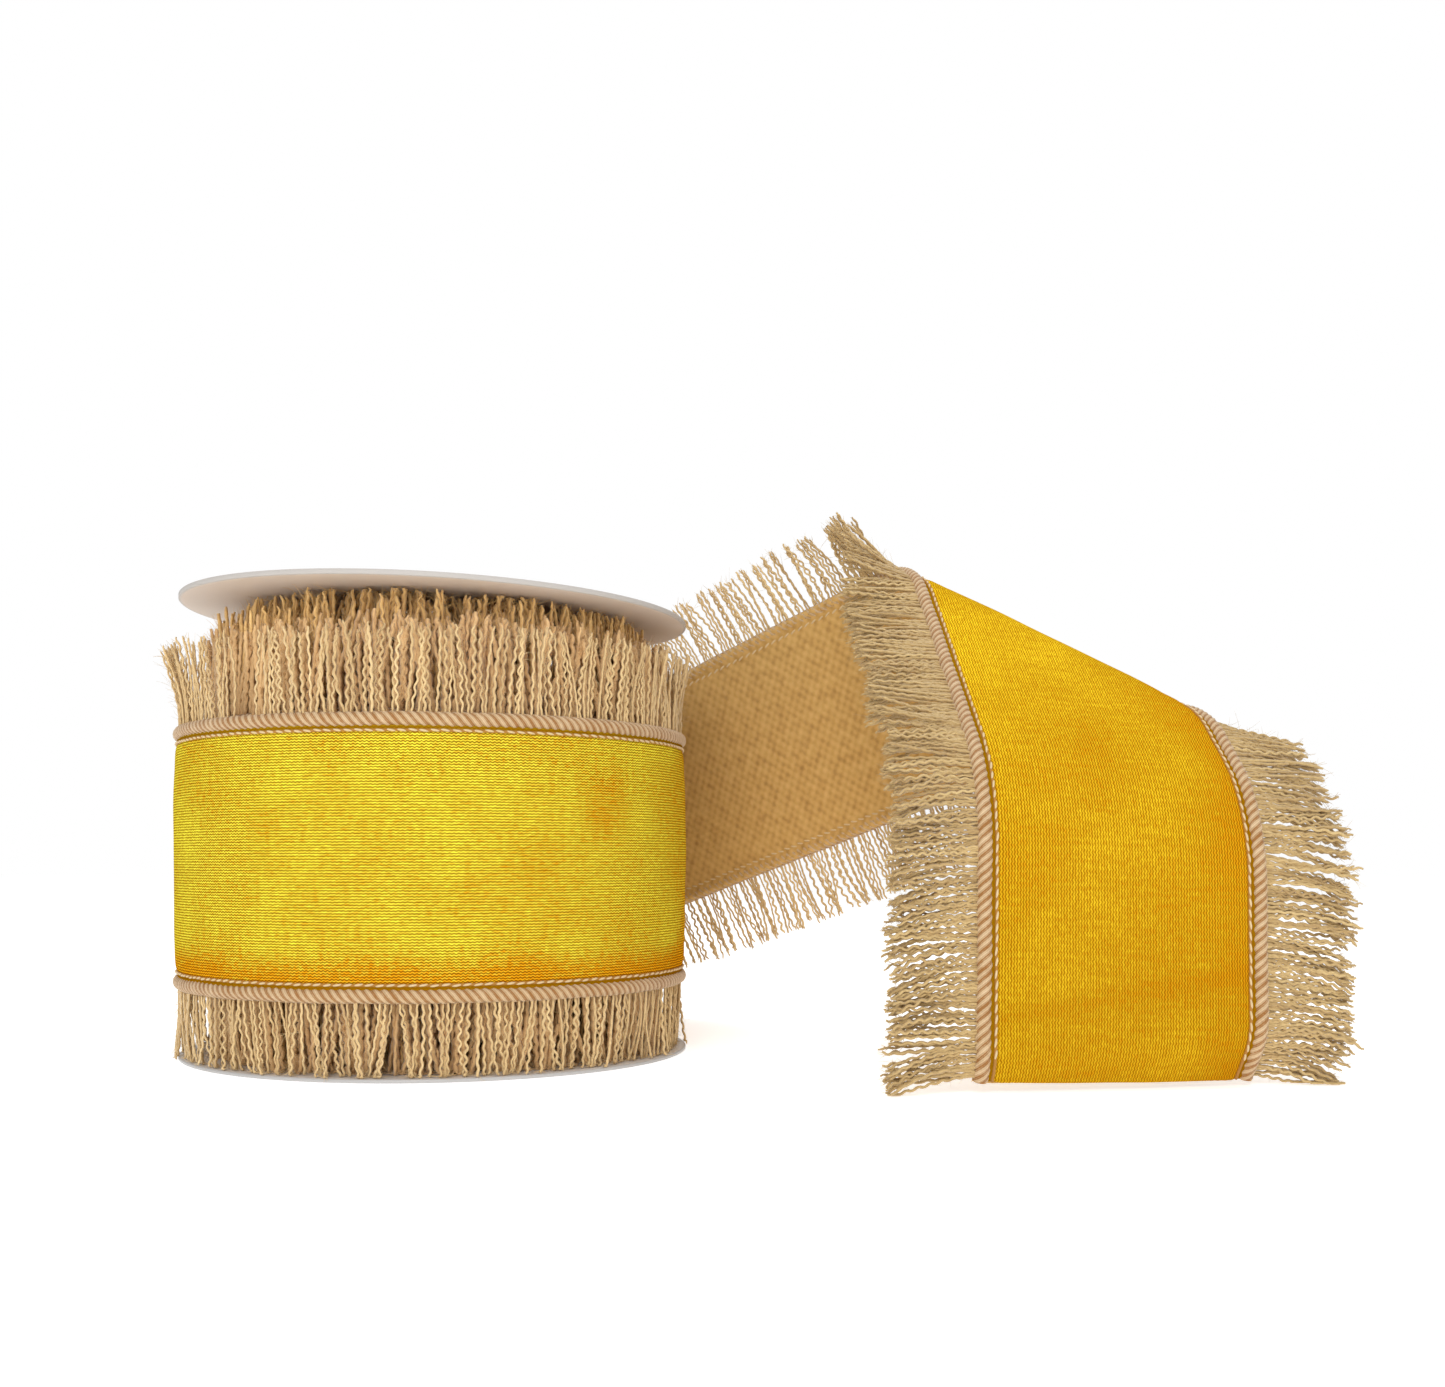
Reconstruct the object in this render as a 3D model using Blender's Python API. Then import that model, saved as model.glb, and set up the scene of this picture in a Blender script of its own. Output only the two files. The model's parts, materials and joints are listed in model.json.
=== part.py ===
"""A spool of wide wired ribbon with a jute fringe, whose loose tail folds over and comes down to the table.

The spool stands upright on its bottom flange. Every piece of the ribbon is drawn on a flat strip: s runs
along it (0 where it leaves the roll), w across it (0 on its middle line, positive at the upper edge) and n
through it (0 on the satin face, positive towards the burlap). ribbon_point() carries a flat place to its
place in space.
"""

import functools
import math

import bmesh
import bpy
from mathutils import Matrix, Vector

MM = 0.001

# Where the spool's axis stands, so that the whole part is centred on the origin
SPOOL_X = -72.0 * MM
SPOOL_Y = -5.4 * MM

# Spool
FLANGE_RADIUS = 63.5 * MM
BORE_RADIUS = 12.7 * MM
BOTTOM_FLANGE_THICKNESS = 0.8 * MM
TOP_FLANGE_THICKNESS = 1.2 * MM
TOP_FLANGE_UNDERSIDE = 110.4 * MM
TOP_FLANGE_TILT = math.radians(1.9)
CORE_RADIUS = 16.6 * MM
CORE_BORE_RADIUS = 14.6 * MM
CORE_HEIGHT = 108.5 * MM
COLLAR_RADIUS = 13.9 * MM
COLLAR_DEPTH = 9.0 * MM
TAPE_THICKNESS = 0.3 * MM
TAPE_HEIGHT = 44.0 * MM
TAPE_TURN = math.radians(70)
GAP = 0.35 * MM

# Wound turns under the outermost one
WOUND_INNER_RADIUS = 17.6 * MM
WOUND_RADIUS = 58.4 * MM
WOUND_FRINGE_INNER_RADIUS = 20.0 * MM
WOUND_FRINGE_RADIUS = 57.6 * MM
WOUND_FRINGE_TOP = 107.4 * MM

# Ribbon, across and through
PIPING_CENTRE = 30.2 * MM
PIPING_RADIUS = 1.55 * MM
PIPING_DEPTH = 0.8 * MM
WIRE_HOLE_RADIUS = 0.85 * MM
WIRE_RADIUS = 0.35 * MM
CLOTH_EDGE = 28.3 * MM
SATIN_THICKNESS = 0.35 * MM
BURLAP_FRONT = 0.7 * MM
BURLAP_BACK = 1.6 * MM
STITCH_CENTRE = 27.2 * MM
STITCH_HALF_WIDTH = 0.4 * MM
STITCH_LIFT = 0.32 * MM
STITCH_RISE = 0.35 * MM
FRINGE_ROOT = 32.1 * MM
FRINGE_TIP = 50.8 * MM
FRINGE_NOTCH = 1.8 * MM
FRINGE_FRONT = 0.2 * MM
FRINGE_BACK = 1.4 * MM
FRINGE_FLOOR = 1.6 * MM

# Outermost turn: a spiral that ends where the tail leaves the roll
ROLL_RADIUS = 64.2 * MM
ROLL_PITCH = 2.6 * MM
ROLL_MIDDLE = 49.0 * MM
LEAVE_ANGLE = math.radians(150)
WRAP_TURN = math.radians(350)
WRAP_STEPS = 36
JOIN_GAP = 0.25 * MM

# Lead: from the roll to the straight climb, curving towards the front
LEAD_LENGTH = 133.2 * MM
LEAD_STEPS = 22
HEADING = math.radians(-37.6)
HEADING_POWER = 1.492
CLIMB = math.radians(18.1)
CLIMB_POWER = 1.595
LEAN = math.radians(-12.5)
TRACE_STEP = 1.0 * MM

# Tail: a flat strip bent round slanted lines. start is measured from the end of the lead along the middle
# line, slant from the strip's length, width across the bend, turn is how far the strip turns.
FOLD = {"start": 115.7 * MM, "slant": math.radians(47.7), "width": 32.3 * MM, "turn": math.radians(106.2)}
DROP = {"start": 195.3 * MM, "slant": math.radians(86.5), "width": 31.6 * MM, "turn": math.radians(44.0)}
TOE = {"start": 261.2 * MM, "slant": math.radians(97.7), "width": 8.0 * MM, "turn": math.radians(38.9)}
BENDS = (FOLD, DROP, TOE)
TAIL_LENGTH = 272.6 * MM
BURLAP_FOOT = 1.95 * MM
FOLD_STEPS = 10
DROP_STEPS = 6
TOE_STEPS = 3
HINGE_DEPTH = -0.8 * MM

WRAP_LENGTH = ROLL_RADIUS * WRAP_TURN
FINE = 0.4 * MM


def clear_scene():
    for item in list(bpy.data.objects):
        bpy.data.objects.remove(item, do_unlink=True)


def make_material(name, colour, roughness, metallic=0.0):
    material = bpy.data.materials.new(name)
    material.use_nodes = True
    shader = material.node_tree.nodes["Principled BSDF"]
    shader.inputs["Base Color"].default_value = (*colour, 1.0)
    shader.inputs["Roughness"].default_value = roughness
    shader.inputs["Metallic"].default_value = metallic
    return material


def make_empty(name, place, parent=None):
    empty = bpy.data.objects.new(name, None)
    bpy.context.scene.collection.objects.link(empty)
    empty.parent = parent
    empty.location = place
    return empty


# ---------------------------------------------------------------- the ribbon's way through space


def wrap_frame(s):
    """The outermost turn: place on the satin face's middle line, and directions along, across and inwards."""
    angle = LEAVE_ANGLE - s / ROLL_RADIUS
    radius = ROLL_RADIUS + ROLL_PITCH * s / (math.tau * ROLL_RADIUS)
    outwards = Vector((math.cos(angle), math.sin(angle), 0.0))
    along = Vector((math.sin(angle), -math.cos(angle), 0.0))
    centre = radius * outwards + Vector((0.0, 0.0, ROLL_MIDDLE))
    return centre, along, Vector((0.0, 0.0, 1.0)), -outwards


def lead_directions(s):
    part = min(max(s / LEAD_LENGTH, 0.0), 1.0)
    start_heading = LEAVE_ANGLE - math.pi / 2
    heading = start_heading + (HEADING - start_heading) * part**HEADING_POWER
    climb = CLIMB * part**CLIMB_POWER
    lean = LEAN * part**CLIMB_POWER
    flat = Vector((math.cos(heading), math.sin(heading), 0.0))
    along = math.cos(climb) * flat + Vector((0.0, 0.0, math.sin(climb)))
    level_inwards = Vector((math.sin(heading), -math.cos(heading), 0.0))
    upright = level_inwards.cross(along)
    inwards = math.cos(lean) * level_inwards + math.sin(lean) * upright
    return along, inwards.cross(along), inwards


@functools.lru_cache(maxsize=None)
def lead_frame(s):
    """The lead's frame at s, its middle line summed in short steps from where it leaves the roll."""
    centre = wrap_frame(0.0)[0]
    count = max(1, round(s / TRACE_STEP))
    step = s / count
    for index in range(count):
        centre = centre + lead_directions((index + 0.5) * step)[0] * step
    return (centre, *lead_directions(s))


def bend_point(place, flat_s, flat_w, bend):
    """Carries a place on the strip, given as (s, w, n), round one bend. It began at (flat_s, flat_w)."""
    line = Vector((math.cos(bend["slant"]), -math.sin(bend["slant"]), 0.0))
    onward = Vector((math.sin(bend["slant"]), math.cos(bend["slant"]), 0.0))
    start = Vector((bend["start"], 0.0, 0.0))
    width = bend["width"]
    flat_reach = (Vector((flat_s, flat_w, 0.0)) - start).dot(onward)
    if flat_reach <= 0.0:
        return place
    radius = width / bend["turn"]
    angle = min(flat_reach, width) / radius
    reach = (place - start).dot(onward)
    past = reach - width if flat_reach > width else 0.0
    depth = place.z
    new_reach = (radius - depth) * math.sin(angle) + past * math.cos(angle)
    new_depth = radius - (radius - depth) * math.cos(angle) + past * math.sin(angle)
    sideways = (place - start).dot(line)
    return start + sideways * line + new_reach * onward + Vector((0.0, 0.0, new_depth))


def cloth_point(s, w, n):
    """Where a flat place on the cloth lies, for w between the two pipings' middles."""
    if s <= 0.0:
        centre, _, across, inwards = wrap_frame(s)
        return centre + w * across + n * inwards
    if s <= LEAD_LENGTH:
        centre, _, across, inwards = lead_frame(s)
        return centre + w * across + n * inwards
    tail_s = s - LEAD_LENGTH
    place = Vector((tail_s, w, n))
    for bend in reversed(BENDS):
        place = bend_point(place, tail_s, w, bend)
    centre, along, across, inwards = lead_frame(LEAD_LENGTH)
    return centre + place.x * along + place.y * across + place.z * inwards


def ribbon_point(s, w, n):
    """As cloth_point, but beyond the pipings the ribbon's threads run straight on."""
    if abs(w) <= PIPING_CENTRE:
        return cloth_point(s, w, n)
    edge = math.copysign(PIPING_CENTRE, w)
    inner = math.copysign(PIPING_CENTRE - FINE, w)
    outwards = (cloth_point(s, edge, n) - cloth_point(s, inner, n)).normalized()
    return cloth_point(s, edge, n) + (abs(w) - PIPING_CENTRE) * outwards


# ---------------------------------------------------------------- stations along the ribbon


def square_stations(first, last, steps):
    """Lines straight across the ribbon, as (s on the middle line, shift of s for each metre of w)."""
    return [(first + (last - first) * index / steps, 0.0) for index in range(steps + 1)]


def bend_stations(bend, steps, first=0.0, last=1.0):
    """Lines along a bend's own slant, from the share first to the share last of its width."""
    slant = bend["slant"]
    stations = []
    for index in range(steps + 1):
        reach = bend["width"] * (first + (last - first) * index / steps)
        stations.append((LEAD_LENGTH + bend["start"] + reach / math.sin(slant), 1.0 / math.tan(slant)))
    return stations


def station_s(station, w):
    middle, shift = station
    held = max(-PIPING_CENTRE, min(PIPING_CENTRE, w))
    return middle - held * shift


def section(station, outline):
    return [ribbon_point(station_s(station, w), w, n) for w, n in outline]


def wrap_stations():
    return square_stations(-WRAP_LENGTH, -JOIN_GAP, WRAP_STEPS)


def band_stations():
    lead = square_stations(JOIN_GAP, LEAD_LENGTH, LEAD_STEPS)
    half_gap = JOIN_GAP / FOLD["width"]
    return lead + bend_stations(FOLD, FOLD_STEPS // 2, 0.0, 0.5 - half_gap)


def flap_stations():
    half_gap = JOIN_GAP / FOLD["width"]
    fold = bend_stations(FOLD, FOLD_STEPS // 2, 0.5 + half_gap, 1.0)
    end = (LEAD_LENGTH + TAIL_LENGTH, 0.0)
    return fold + bend_stations(DROP, DROP_STEPS) + bend_stations(TOE, TOE_STEPS) + [end]


def foot_station():
    """Where the flap's burlap ends: a little past the other pieces, so that the flap stands on it."""
    return (LEAD_LENGTH + TAIL_LENGTH + BURLAP_FOOT, 0.0)


# ---------------------------------------------------------------- solids


def finish_object(name, mesh_builder, material, parent, origin):
    """Makes the object from a filled bmesh, its origin at origin and its faces outwards."""
    bmesh.ops.recalc_face_normals(mesh_builder, faces=mesh_builder.faces)
    bmesh.ops.translate(mesh_builder, verts=mesh_builder.verts, vec=-origin)
    mesh = bpy.data.meshes.new(name)
    mesh_builder.to_mesh(mesh)
    mesh_builder.free()
    mesh.shade_smooth()
    mesh.set_sharp_from_angle(angle=math.radians(35))
    mesh.materials.append(material)
    item = bpy.data.objects.new(name, mesh)
    bpy.context.scene.collection.objects.link(item)
    item.parent = parent
    return item


def join_rings(builder, rings, closed_round=True):
    """Faces between each ring of vertices and the next."""
    for one, two in zip(rings, rings[1:]):
        count = len(one)
        for index in range(count if closed_round else count - 1):
            after = (index + 1) % count
            builder.faces.new((one[index], one[after], two[after], two[index]))


def make_strip(name, stations, outline_at, material, parent, origin):
    """A bar along the ribbon with a capped end at each side. outline_at(index, station) gives its (w, n)."""
    builder = bmesh.new()
    rings = []
    for index, station in enumerate(stations):
        points = section(station, outline_at(index, station))
        rings.append([builder.verts.new(point) for point in points])
    join_rings(builder, rings)
    builder.faces.new(rings[0])
    builder.faces.new(rings[-1])
    return finish_object(name, builder, material, parent, origin)


def make_sleeve(name, stations, outer, inner, material, parent, origin):
    """A tube along the ribbon, open from end to end."""
    builder = bmesh.new()
    rings = []
    for outline, route in ((outer, stations), (inner, stations[::-1])):
        for station in route:
            rings.append([builder.verts.new(point) for point in section(station, outline)])
    join_rings(builder, rings + rings[:1])
    return finish_object(name, builder, material, parent, origin)


def round_outline(side, radius, corners, turned=0.0):
    """A regular outline round the middle of the piping at the side's edge."""
    outline = []
    for index in range(corners):
        angle = math.tau * index / corners + turned
        w = side * PIPING_CENTRE + radius * math.cos(angle)
        outline.append((w, PIPING_DEPTH + radius * math.sin(angle)))
    return outline


def box_outline(low_w, high_w, low_n, high_n):
    return [(low_w, low_n), (high_w, low_n), (high_w, high_n), (low_w, high_n)]


def cloth_outline(low_n, high_n):
    """A wide box with a point on its middle line, so that it can follow the cloth's twist."""
    edge = CLOTH_EDGE
    return [(-edge, low_n), (0.0, low_n), (edge, low_n), (edge, high_n), (0.0, high_n), (-edge, high_n)]


def fringe_tip(index, station, side):
    """How far the fringe reaches at a station: its cut ends are uneven, and low threads stop at the table."""
    tip = FRINGE_TIP - (FRINGE_NOTCH if index % 2 else 0.0)
    if side > 0:
        return tip
    edge = section(station, [(-PIPING_CENTRE, FRINGE_BACK)])[0]
    beyond = section(station, [(-PIPING_CENTRE - MM, FRINGE_BACK)])[0]
    drop = (edge.z - beyond.z) / MM
    if drop <= 0.0:
        return tip
    return min(tip, PIPING_CENTRE + (edge.z - FRINGE_FLOOR) / drop)


def make_ribbon_pieces(prefix, stations, materials, parent, origin, burlap_end=()):
    """One stretch of the ribbon: cloth, edge cords with their wires, stitch rows and fringes."""

    def satin(index, station):
        return cloth_outline(0.0, SATIN_THICKNESS)

    def burlap(index, station):
        return cloth_outline(BURLAP_FRONT, BURLAP_BACK)

    make_strip(prefix + "_satin", stations, satin, materials["satin"], parent, origin)
    make_strip(prefix + "_burlap", [*stations, *burlap_end], burlap, materials["burlap"], parent, origin)
    for side, edge in ((1, "upper"), (-1, "lower")):
        sleeve = round_outline(side, PIPING_RADIUS, 6)
        hole = round_outline(side, WIRE_HOLE_RADIUS, 6)
        wire_outline = round_outline(side, WIRE_RADIUS, 4, math.pi / 4)

        def wire(index, station):
            return wire_outline

        def stitching(index, station):
            middle = side * STITCH_CENTRE
            low = -STITCH_LIFT
            return [
                (middle - STITCH_HALF_WIDTH, low),
                (middle + STITCH_HALF_WIDTH, low),
                (middle, low - STITCH_RISE),
            ]

        def fringe(index, station):
            root = side * FRINGE_ROOT
            tip = side * fringe_tip(index, station, side)
            return box_outline(root, tip, FRINGE_FRONT, FRINGE_BACK)

        name = f"{prefix}_{edge}_"
        make_sleeve(name + "piping", stations, sleeve, hole, materials["piping"], parent, origin)
        make_strip(name + "wire", stations, wire, materials["wire"], parent, origin)
        make_strip(name + "stitching", stations, stitching, materials["thread"], parent, origin)
        make_strip(name + "fringe", stations, fringe, materials["fringe"], parent, origin)


def make_turned(name, profile, material, parent, steps=48, tilt_place=None):
    """A closed profile of (radius, height) turned round the spool's axis, and tilted about tilt_place."""
    builder = bmesh.new()
    rings = []
    for radius, height in profile:
        ring = []
        for index in range(steps):
            angle = math.tau * index / steps
            ring.append(builder.verts.new((radius * math.cos(angle), radius * math.sin(angle), height)))
        rings.append(ring)
    join_rings(builder, rings + rings[:1])
    if tilt_place is not None:
        tilt = Matrix.Rotation(TOP_FLANGE_TILT, 3, "Y")
        bmesh.ops.rotate(builder, verts=builder.verts, cent=tilt_place, matrix=tilt)
    return finish_object(name, builder, material, parent, Vector((0.0, 0.0, 0.0)))


def ring_profile(inner, outer, low, high):
    return [(inner, low), (outer, low), (outer, high), (inner, high)]


def make_start_tape(material, parent):
    """A strip of tape on the core, under the ribbon's inner end."""
    builder = bmesh.new()
    low = ROLL_MIDDLE - TAPE_HEIGHT / 2
    high = ROLL_MIDDLE + TAPE_HEIGHT / 2
    inner = CORE_RADIUS + GAP
    rings = []
    steps = 8
    for index in range(steps + 1):
        angle = TAPE_TURN * index / steps
        ring = []
        for radius, height in ring_profile(inner, inner + TAPE_THICKNESS, low, high):
            ring.append(builder.verts.new((radius * math.cos(angle), radius * math.sin(angle), height)))
        rings.append(ring)
    join_rings(builder, rings)
    builder.faces.new(rings[0])
    builder.faces.new(rings[-1])
    finish_object("start_tape", builder, material, parent, Vector((0.0, 0.0, 0.0)))


def make_spool(materials, parent):
    """Flanges, core and the collars that hold them together."""
    board = materials["board"]
    core_foot = BOTTOM_FLANGE_THICKNESS + GAP
    flange = ring_profile(BORE_RADIUS, FLANGE_RADIUS, 0.0, BOTTOM_FLANGE_THICKNESS)
    make_turned("bottom_flange", flange, materials["clear_rim"], parent)
    top_centre = Vector((0.0, 0.0, TOP_FLANGE_UNDERSIDE))
    flange_top = TOP_FLANGE_UNDERSIDE + TOP_FLANGE_THICKNESS
    flange = ring_profile(BORE_RADIUS, FLANGE_RADIUS, TOP_FLANGE_UNDERSIDE, flange_top)
    make_turned("top_flange", flange, board, parent, tilt_place=top_centre)
    core = ring_profile(CORE_BORE_RADIUS, CORE_RADIUS, core_foot, core_foot + CORE_HEIGHT)
    make_turned("core_tube", core, materials["kraft"], parent, steps=32)
    collar = ring_profile(BORE_RADIUS, COLLAR_RADIUS, core_foot, core_foot + COLLAR_DEPTH)
    make_turned("bottom_hub_collar", collar, board, parent, steps=32)
    high = TOP_FLANGE_UNDERSIDE - GAP
    collar = ring_profile(BORE_RADIUS, COLLAR_RADIUS, high - COLLAR_DEPTH, high)
    make_turned("top_hub_collar", collar, board, parent, steps=32, tilt_place=top_centre)


def make_wound_turns(materials, parent):
    """The turns under the outermost one, as one ring of cloth with a ring of fringe at each end."""
    top = ROLL_MIDDLE + PIPING_CENTRE + PIPING_RADIUS
    foot = ROLL_MIDDLE - PIPING_CENTRE - PIPING_RADIUS
    cloth = ring_profile(WOUND_INNER_RADIUS, WOUND_RADIUS, foot, top)
    make_turned("wound_ribbon", cloth, materials["piping"], parent)
    inner, outer = WOUND_FRINGE_INNER_RADIUS, WOUND_FRINGE_RADIUS
    upper = ring_profile(inner, outer, top + GAP, WOUND_FRINGE_TOP)
    make_turned("wound_upper_fringe", upper, materials["fringe"], parent)
    lower = ring_profile(inner, outer, BOTTOM_FLANGE_THICKNESS + GAP, foot - GAP)
    make_turned("wound_lower_fringe", lower, materials["fringe"], parent)


def main():
    clear_scene()
    materials = {
        "board": make_material("board", (0.50, 0.43, 0.35), 0.75),
        "clear_rim": make_material("clear_rim", (0.62, 0.60, 0.58), 0.3),
        "kraft": make_material("kraft", (0.42, 0.30, 0.19), 0.85),
        "tape": make_material("tape", (0.80, 0.74, 0.58), 0.3),
        "satin": make_material("satin", (0.80, 0.52, 0.02), 0.35),
        "burlap": make_material("burlap", (0.53, 0.30, 0.09), 0.9),
        "piping": make_material("piping", (0.80, 0.57, 0.34), 0.7),
        "wire": make_material("wire", (0.55, 0.55, 0.56), 0.35, 1.0),
        "thread": make_material("thread", (0.83, 0.62, 0.32), 0.6),
        "fringe": make_material("fringe", (0.62, 0.47, 0.26), 0.9),
    }
    frame = make_empty("part_frame", Vector((SPOOL_X, SPOOL_Y, 0.0)))
    nowhere = Vector((0.0, 0.0, 0.0))
    make_spool(materials, frame)
    make_start_tape(materials["tape"], frame)
    make_wound_turns(materials, frame)

    lead_axis = make_empty("lead_axis", nowhere, frame)
    make_ribbon_pieces("wrap", wrap_stations(), materials, lead_axis, nowhere)
    make_ribbon_pieces("band", band_stations(), materials, lead_axis, nowhere)

    middle_line = bend_stations(FOLD, 2)[1]
    hinge = section(middle_line, [(0.0, HINGE_DEPTH)])[0]
    fold_axis = make_empty("fold_axis", hinge, frame)
    make_ribbon_pieces("flap", flap_stations(), materials, fold_axis, hinge, [foot_station()])


main()
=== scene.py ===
"""The looks of a ribbon spool with a loose, folded tail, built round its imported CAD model.

Every piece of ribbon is drawn on a flat strip and carried to its place by ribbon_at(s, w, n), as in the CAD: s
runs along the strip (0 where it leaves the roll, less than 0 on the roll), w across it, and n through it, from 0
on the satin face towards the burlap. All sizes are in metres.
"""

import json
import math

import bpy
import numpy as np
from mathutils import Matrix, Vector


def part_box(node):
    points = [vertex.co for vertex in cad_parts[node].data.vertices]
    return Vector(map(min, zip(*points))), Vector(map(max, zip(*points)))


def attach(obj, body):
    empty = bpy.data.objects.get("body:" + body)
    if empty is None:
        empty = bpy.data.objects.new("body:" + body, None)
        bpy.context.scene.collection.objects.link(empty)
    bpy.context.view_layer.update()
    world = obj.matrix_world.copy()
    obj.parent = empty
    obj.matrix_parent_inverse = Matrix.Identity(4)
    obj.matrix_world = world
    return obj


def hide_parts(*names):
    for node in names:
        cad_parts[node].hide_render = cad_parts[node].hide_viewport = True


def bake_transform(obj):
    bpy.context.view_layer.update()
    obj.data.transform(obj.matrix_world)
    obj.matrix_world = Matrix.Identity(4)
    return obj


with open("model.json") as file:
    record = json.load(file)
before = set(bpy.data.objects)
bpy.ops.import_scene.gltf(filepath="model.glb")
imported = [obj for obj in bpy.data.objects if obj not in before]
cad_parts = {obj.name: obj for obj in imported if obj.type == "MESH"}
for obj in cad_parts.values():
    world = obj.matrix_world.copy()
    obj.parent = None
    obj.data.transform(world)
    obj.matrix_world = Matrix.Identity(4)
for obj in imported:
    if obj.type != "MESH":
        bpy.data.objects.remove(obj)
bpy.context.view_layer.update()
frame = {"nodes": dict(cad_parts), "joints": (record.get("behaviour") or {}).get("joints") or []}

MM = 0.001
TURN = 2 * math.pi

# ---------------------------------------------------------------- places from the frame
CORE_LOW, CORE_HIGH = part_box("core_tube")
AXIS = np.array([(CORE_LOW.x + CORE_HIGH.x) / 2, (CORE_LOW.y + CORE_HIGH.y) / 2, 0.0])
CORE_RADIUS = (CORE_HIGH.x - CORE_LOW.x) / 2
BOTTOM_LOW, BOTTOM_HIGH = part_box("bottom_flange")
FLANGE_RADIUS = (BOTTOM_HIGH.x - BOTTOM_LOW.x) / 2
BOTTOM_THICKNESS = BOTTOM_HIGH.z - BOTTOM_LOW.z
TOP_LOW, TOP_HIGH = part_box("top_flange")
COLLAR_LOW, COLLAR_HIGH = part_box("bottom_hub_collar")
WOUND_LOW, WOUND_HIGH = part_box("wound_ribbon")
WOUND_RADIUS = (WOUND_HIGH.x - WOUND_LOW.x) / 2
WOUND_MIDDLE = (WOUND_HIGH.z + WOUND_LOW.z) / 2
WRAP_LOW, WRAP_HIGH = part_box("wrap_satin")
HINGE = next(joint for joint in frame["joints"] if joint["name"] == "fold_open")

# ---------------------------------------------------------------- driving sizes, as the CAD has them
TOP_THICKNESS = 1.2 * MM
TOP_TILT = math.radians(1.9)
TOP_UNDERSIDE = (TOP_LOW.z + TOP_HIGH.z) / 2 - TOP_THICKNESS * math.cos(TOP_TILT) / 2
BORE_RADIUS = 12.7 * MM
PIPING_CENTRE = 30.2 * MM
PIPING_RADIUS = 1.68 * MM
PIPING_DEPTH = 0.8 * MM
CLOTH_EDGE = 28.9 * MM
BURLAP_EDGE = 31.4 * MM
STITCH_CENTRE = 27.75 * MM
WIRE_RADIUS = 0.25 * MM
BURLAP_BACK = 1.35 * MM
FRINGE_LENGTH = 19.5 * MM
ROLL_RADIUS = 64.2 * MM
ROLL_PITCH = 2.6 * MM
ROLL_MIDDLE = (WRAP_LOW.z + WRAP_HIGH.z) / 2
LEAVE_ANGLE = math.radians(150)
WRAP_LENGTH = ROLL_RADIUS * math.radians(350)
LEAD_LENGTH = 133.2 * MM
HEADING = math.radians(-37.6)
HEADING_POWER = 1.492
CLIMB = math.radians(18.1)
CLIMB_POWER = 1.595
LEAN = math.radians(-12.5)
FOLD = {"start": 115.7 * MM, "slant": math.radians(47.7), "width": 32.3 * MM, "turn": math.radians(106.2)}
DROP = {"start": 195.3 * MM, "slant": math.radians(86.5), "width": 31.6 * MM, "turn": math.radians(44.0)}
TOE = {"start": 261.2 * MM, "slant": math.radians(97.7), "width": 8.0 * MM, "turn": math.radians(38.9)}
BENDS = (FOLD, DROP, TOE)
TAIL_LENGTH = 272.6 * MM
RIBBON_END = LEAD_LENGTH + TAIL_LENGTH
SPLIT = 190.0 * MM
FOLD_MIDDLE = LEAD_LENGTH + FOLD["start"] + FOLD["width"] / 2 / math.sin(FOLD["slant"])

# Colours (linear)
SATIN_YELLOW = (0.62, 0.47, 0.018)
SATIN_ORANGE = (0.60, 0.25, 0.003)
SATIN_GOLD = (0.61, 0.335, 0.006)
# Painted shade on the satin: towards the flap's foot and beside the cords.
SATIN_PAINTED_SHADE = (0.26, 0.115, 0.002)
BURLAP_MID = (0.60, 0.35, 0.095)
BURLAP_LIGHT = (0.76, 0.49, 0.17)
BURLAP_DARK = (0.34, 0.17, 0.035)
PIPING_PALE = (0.46, 0.295, 0.145)
# The cloth's orange between the piping's thread groups, darkened with painted shade.
PIPING_GAP = (0.30, 0.12, 0.015)
STITCH_PALE = (0.74, 0.56, 0.31)
# A dark thread standing in for the shade round the stitch dashes: painted shade.
STITCH_SHADOW_LINE = (0.42, 0.19, 0.025)
JUTE_LIGHT = (0.76, 0.61, 0.33)
JUTE_MID = (0.56, 0.415, 0.20)
JUTE_DARK = (0.37, 0.24, 0.10)
ROLL_TINT = (1.10, 1.02, 0.95)
UNDER_TINT = (1.22, 1.02, 0.90)
# The deeper inner turns' yarn is painted lighter than the same jute elsewhere: painted bounce light under the discs.
INNER_PAINTED_LIGHT_TINT = (1.40, 1.18, 0.86)
FLAP_TINT = (0.84, 0.76, 0.62)
BOARD_GREY = (0.76, 0.66, 0.57)
BOARD_BROWN = (0.72, 0.61, 0.50)
BOARD_RIM = (0.46, 0.43, 0.40)
PLASTIC_GREY = (0.70, 0.68, 0.66)
PLASTIC_RIM = (0.46, 0.45, 0.44)
KRAFT = (0.42, 0.28, 0.16)
TAPE_CREAM = (0.80, 0.73, 0.52)


# ---------------------------------------------------------------- the ribbon's way through space


def unit(vectors):
    return vectors / np.linalg.norm(vectors, axis=-1, keepdims=True)


def wrap_frames(s, middle=ROLL_MIDDLE):
    """Middle line, across and inward directions on the roll, a spiral that ends where s is 0."""
    angle = LEAVE_ANGLE - s / ROLL_RADIUS
    radius = ROLL_RADIUS + ROLL_PITCH * s / (TURN * ROLL_RADIUS)
    nothing = np.zeros_like(s)
    outwards = np.stack([np.cos(angle), np.sin(angle), nothing], -1)
    centre = radius[..., None] * outwards + np.stack([nothing, nothing, nothing + middle], -1)
    across = np.broadcast_to(np.array([0.0, 0.0, 1.0]), outwards.shape)
    return centre, across, -outwards


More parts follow.
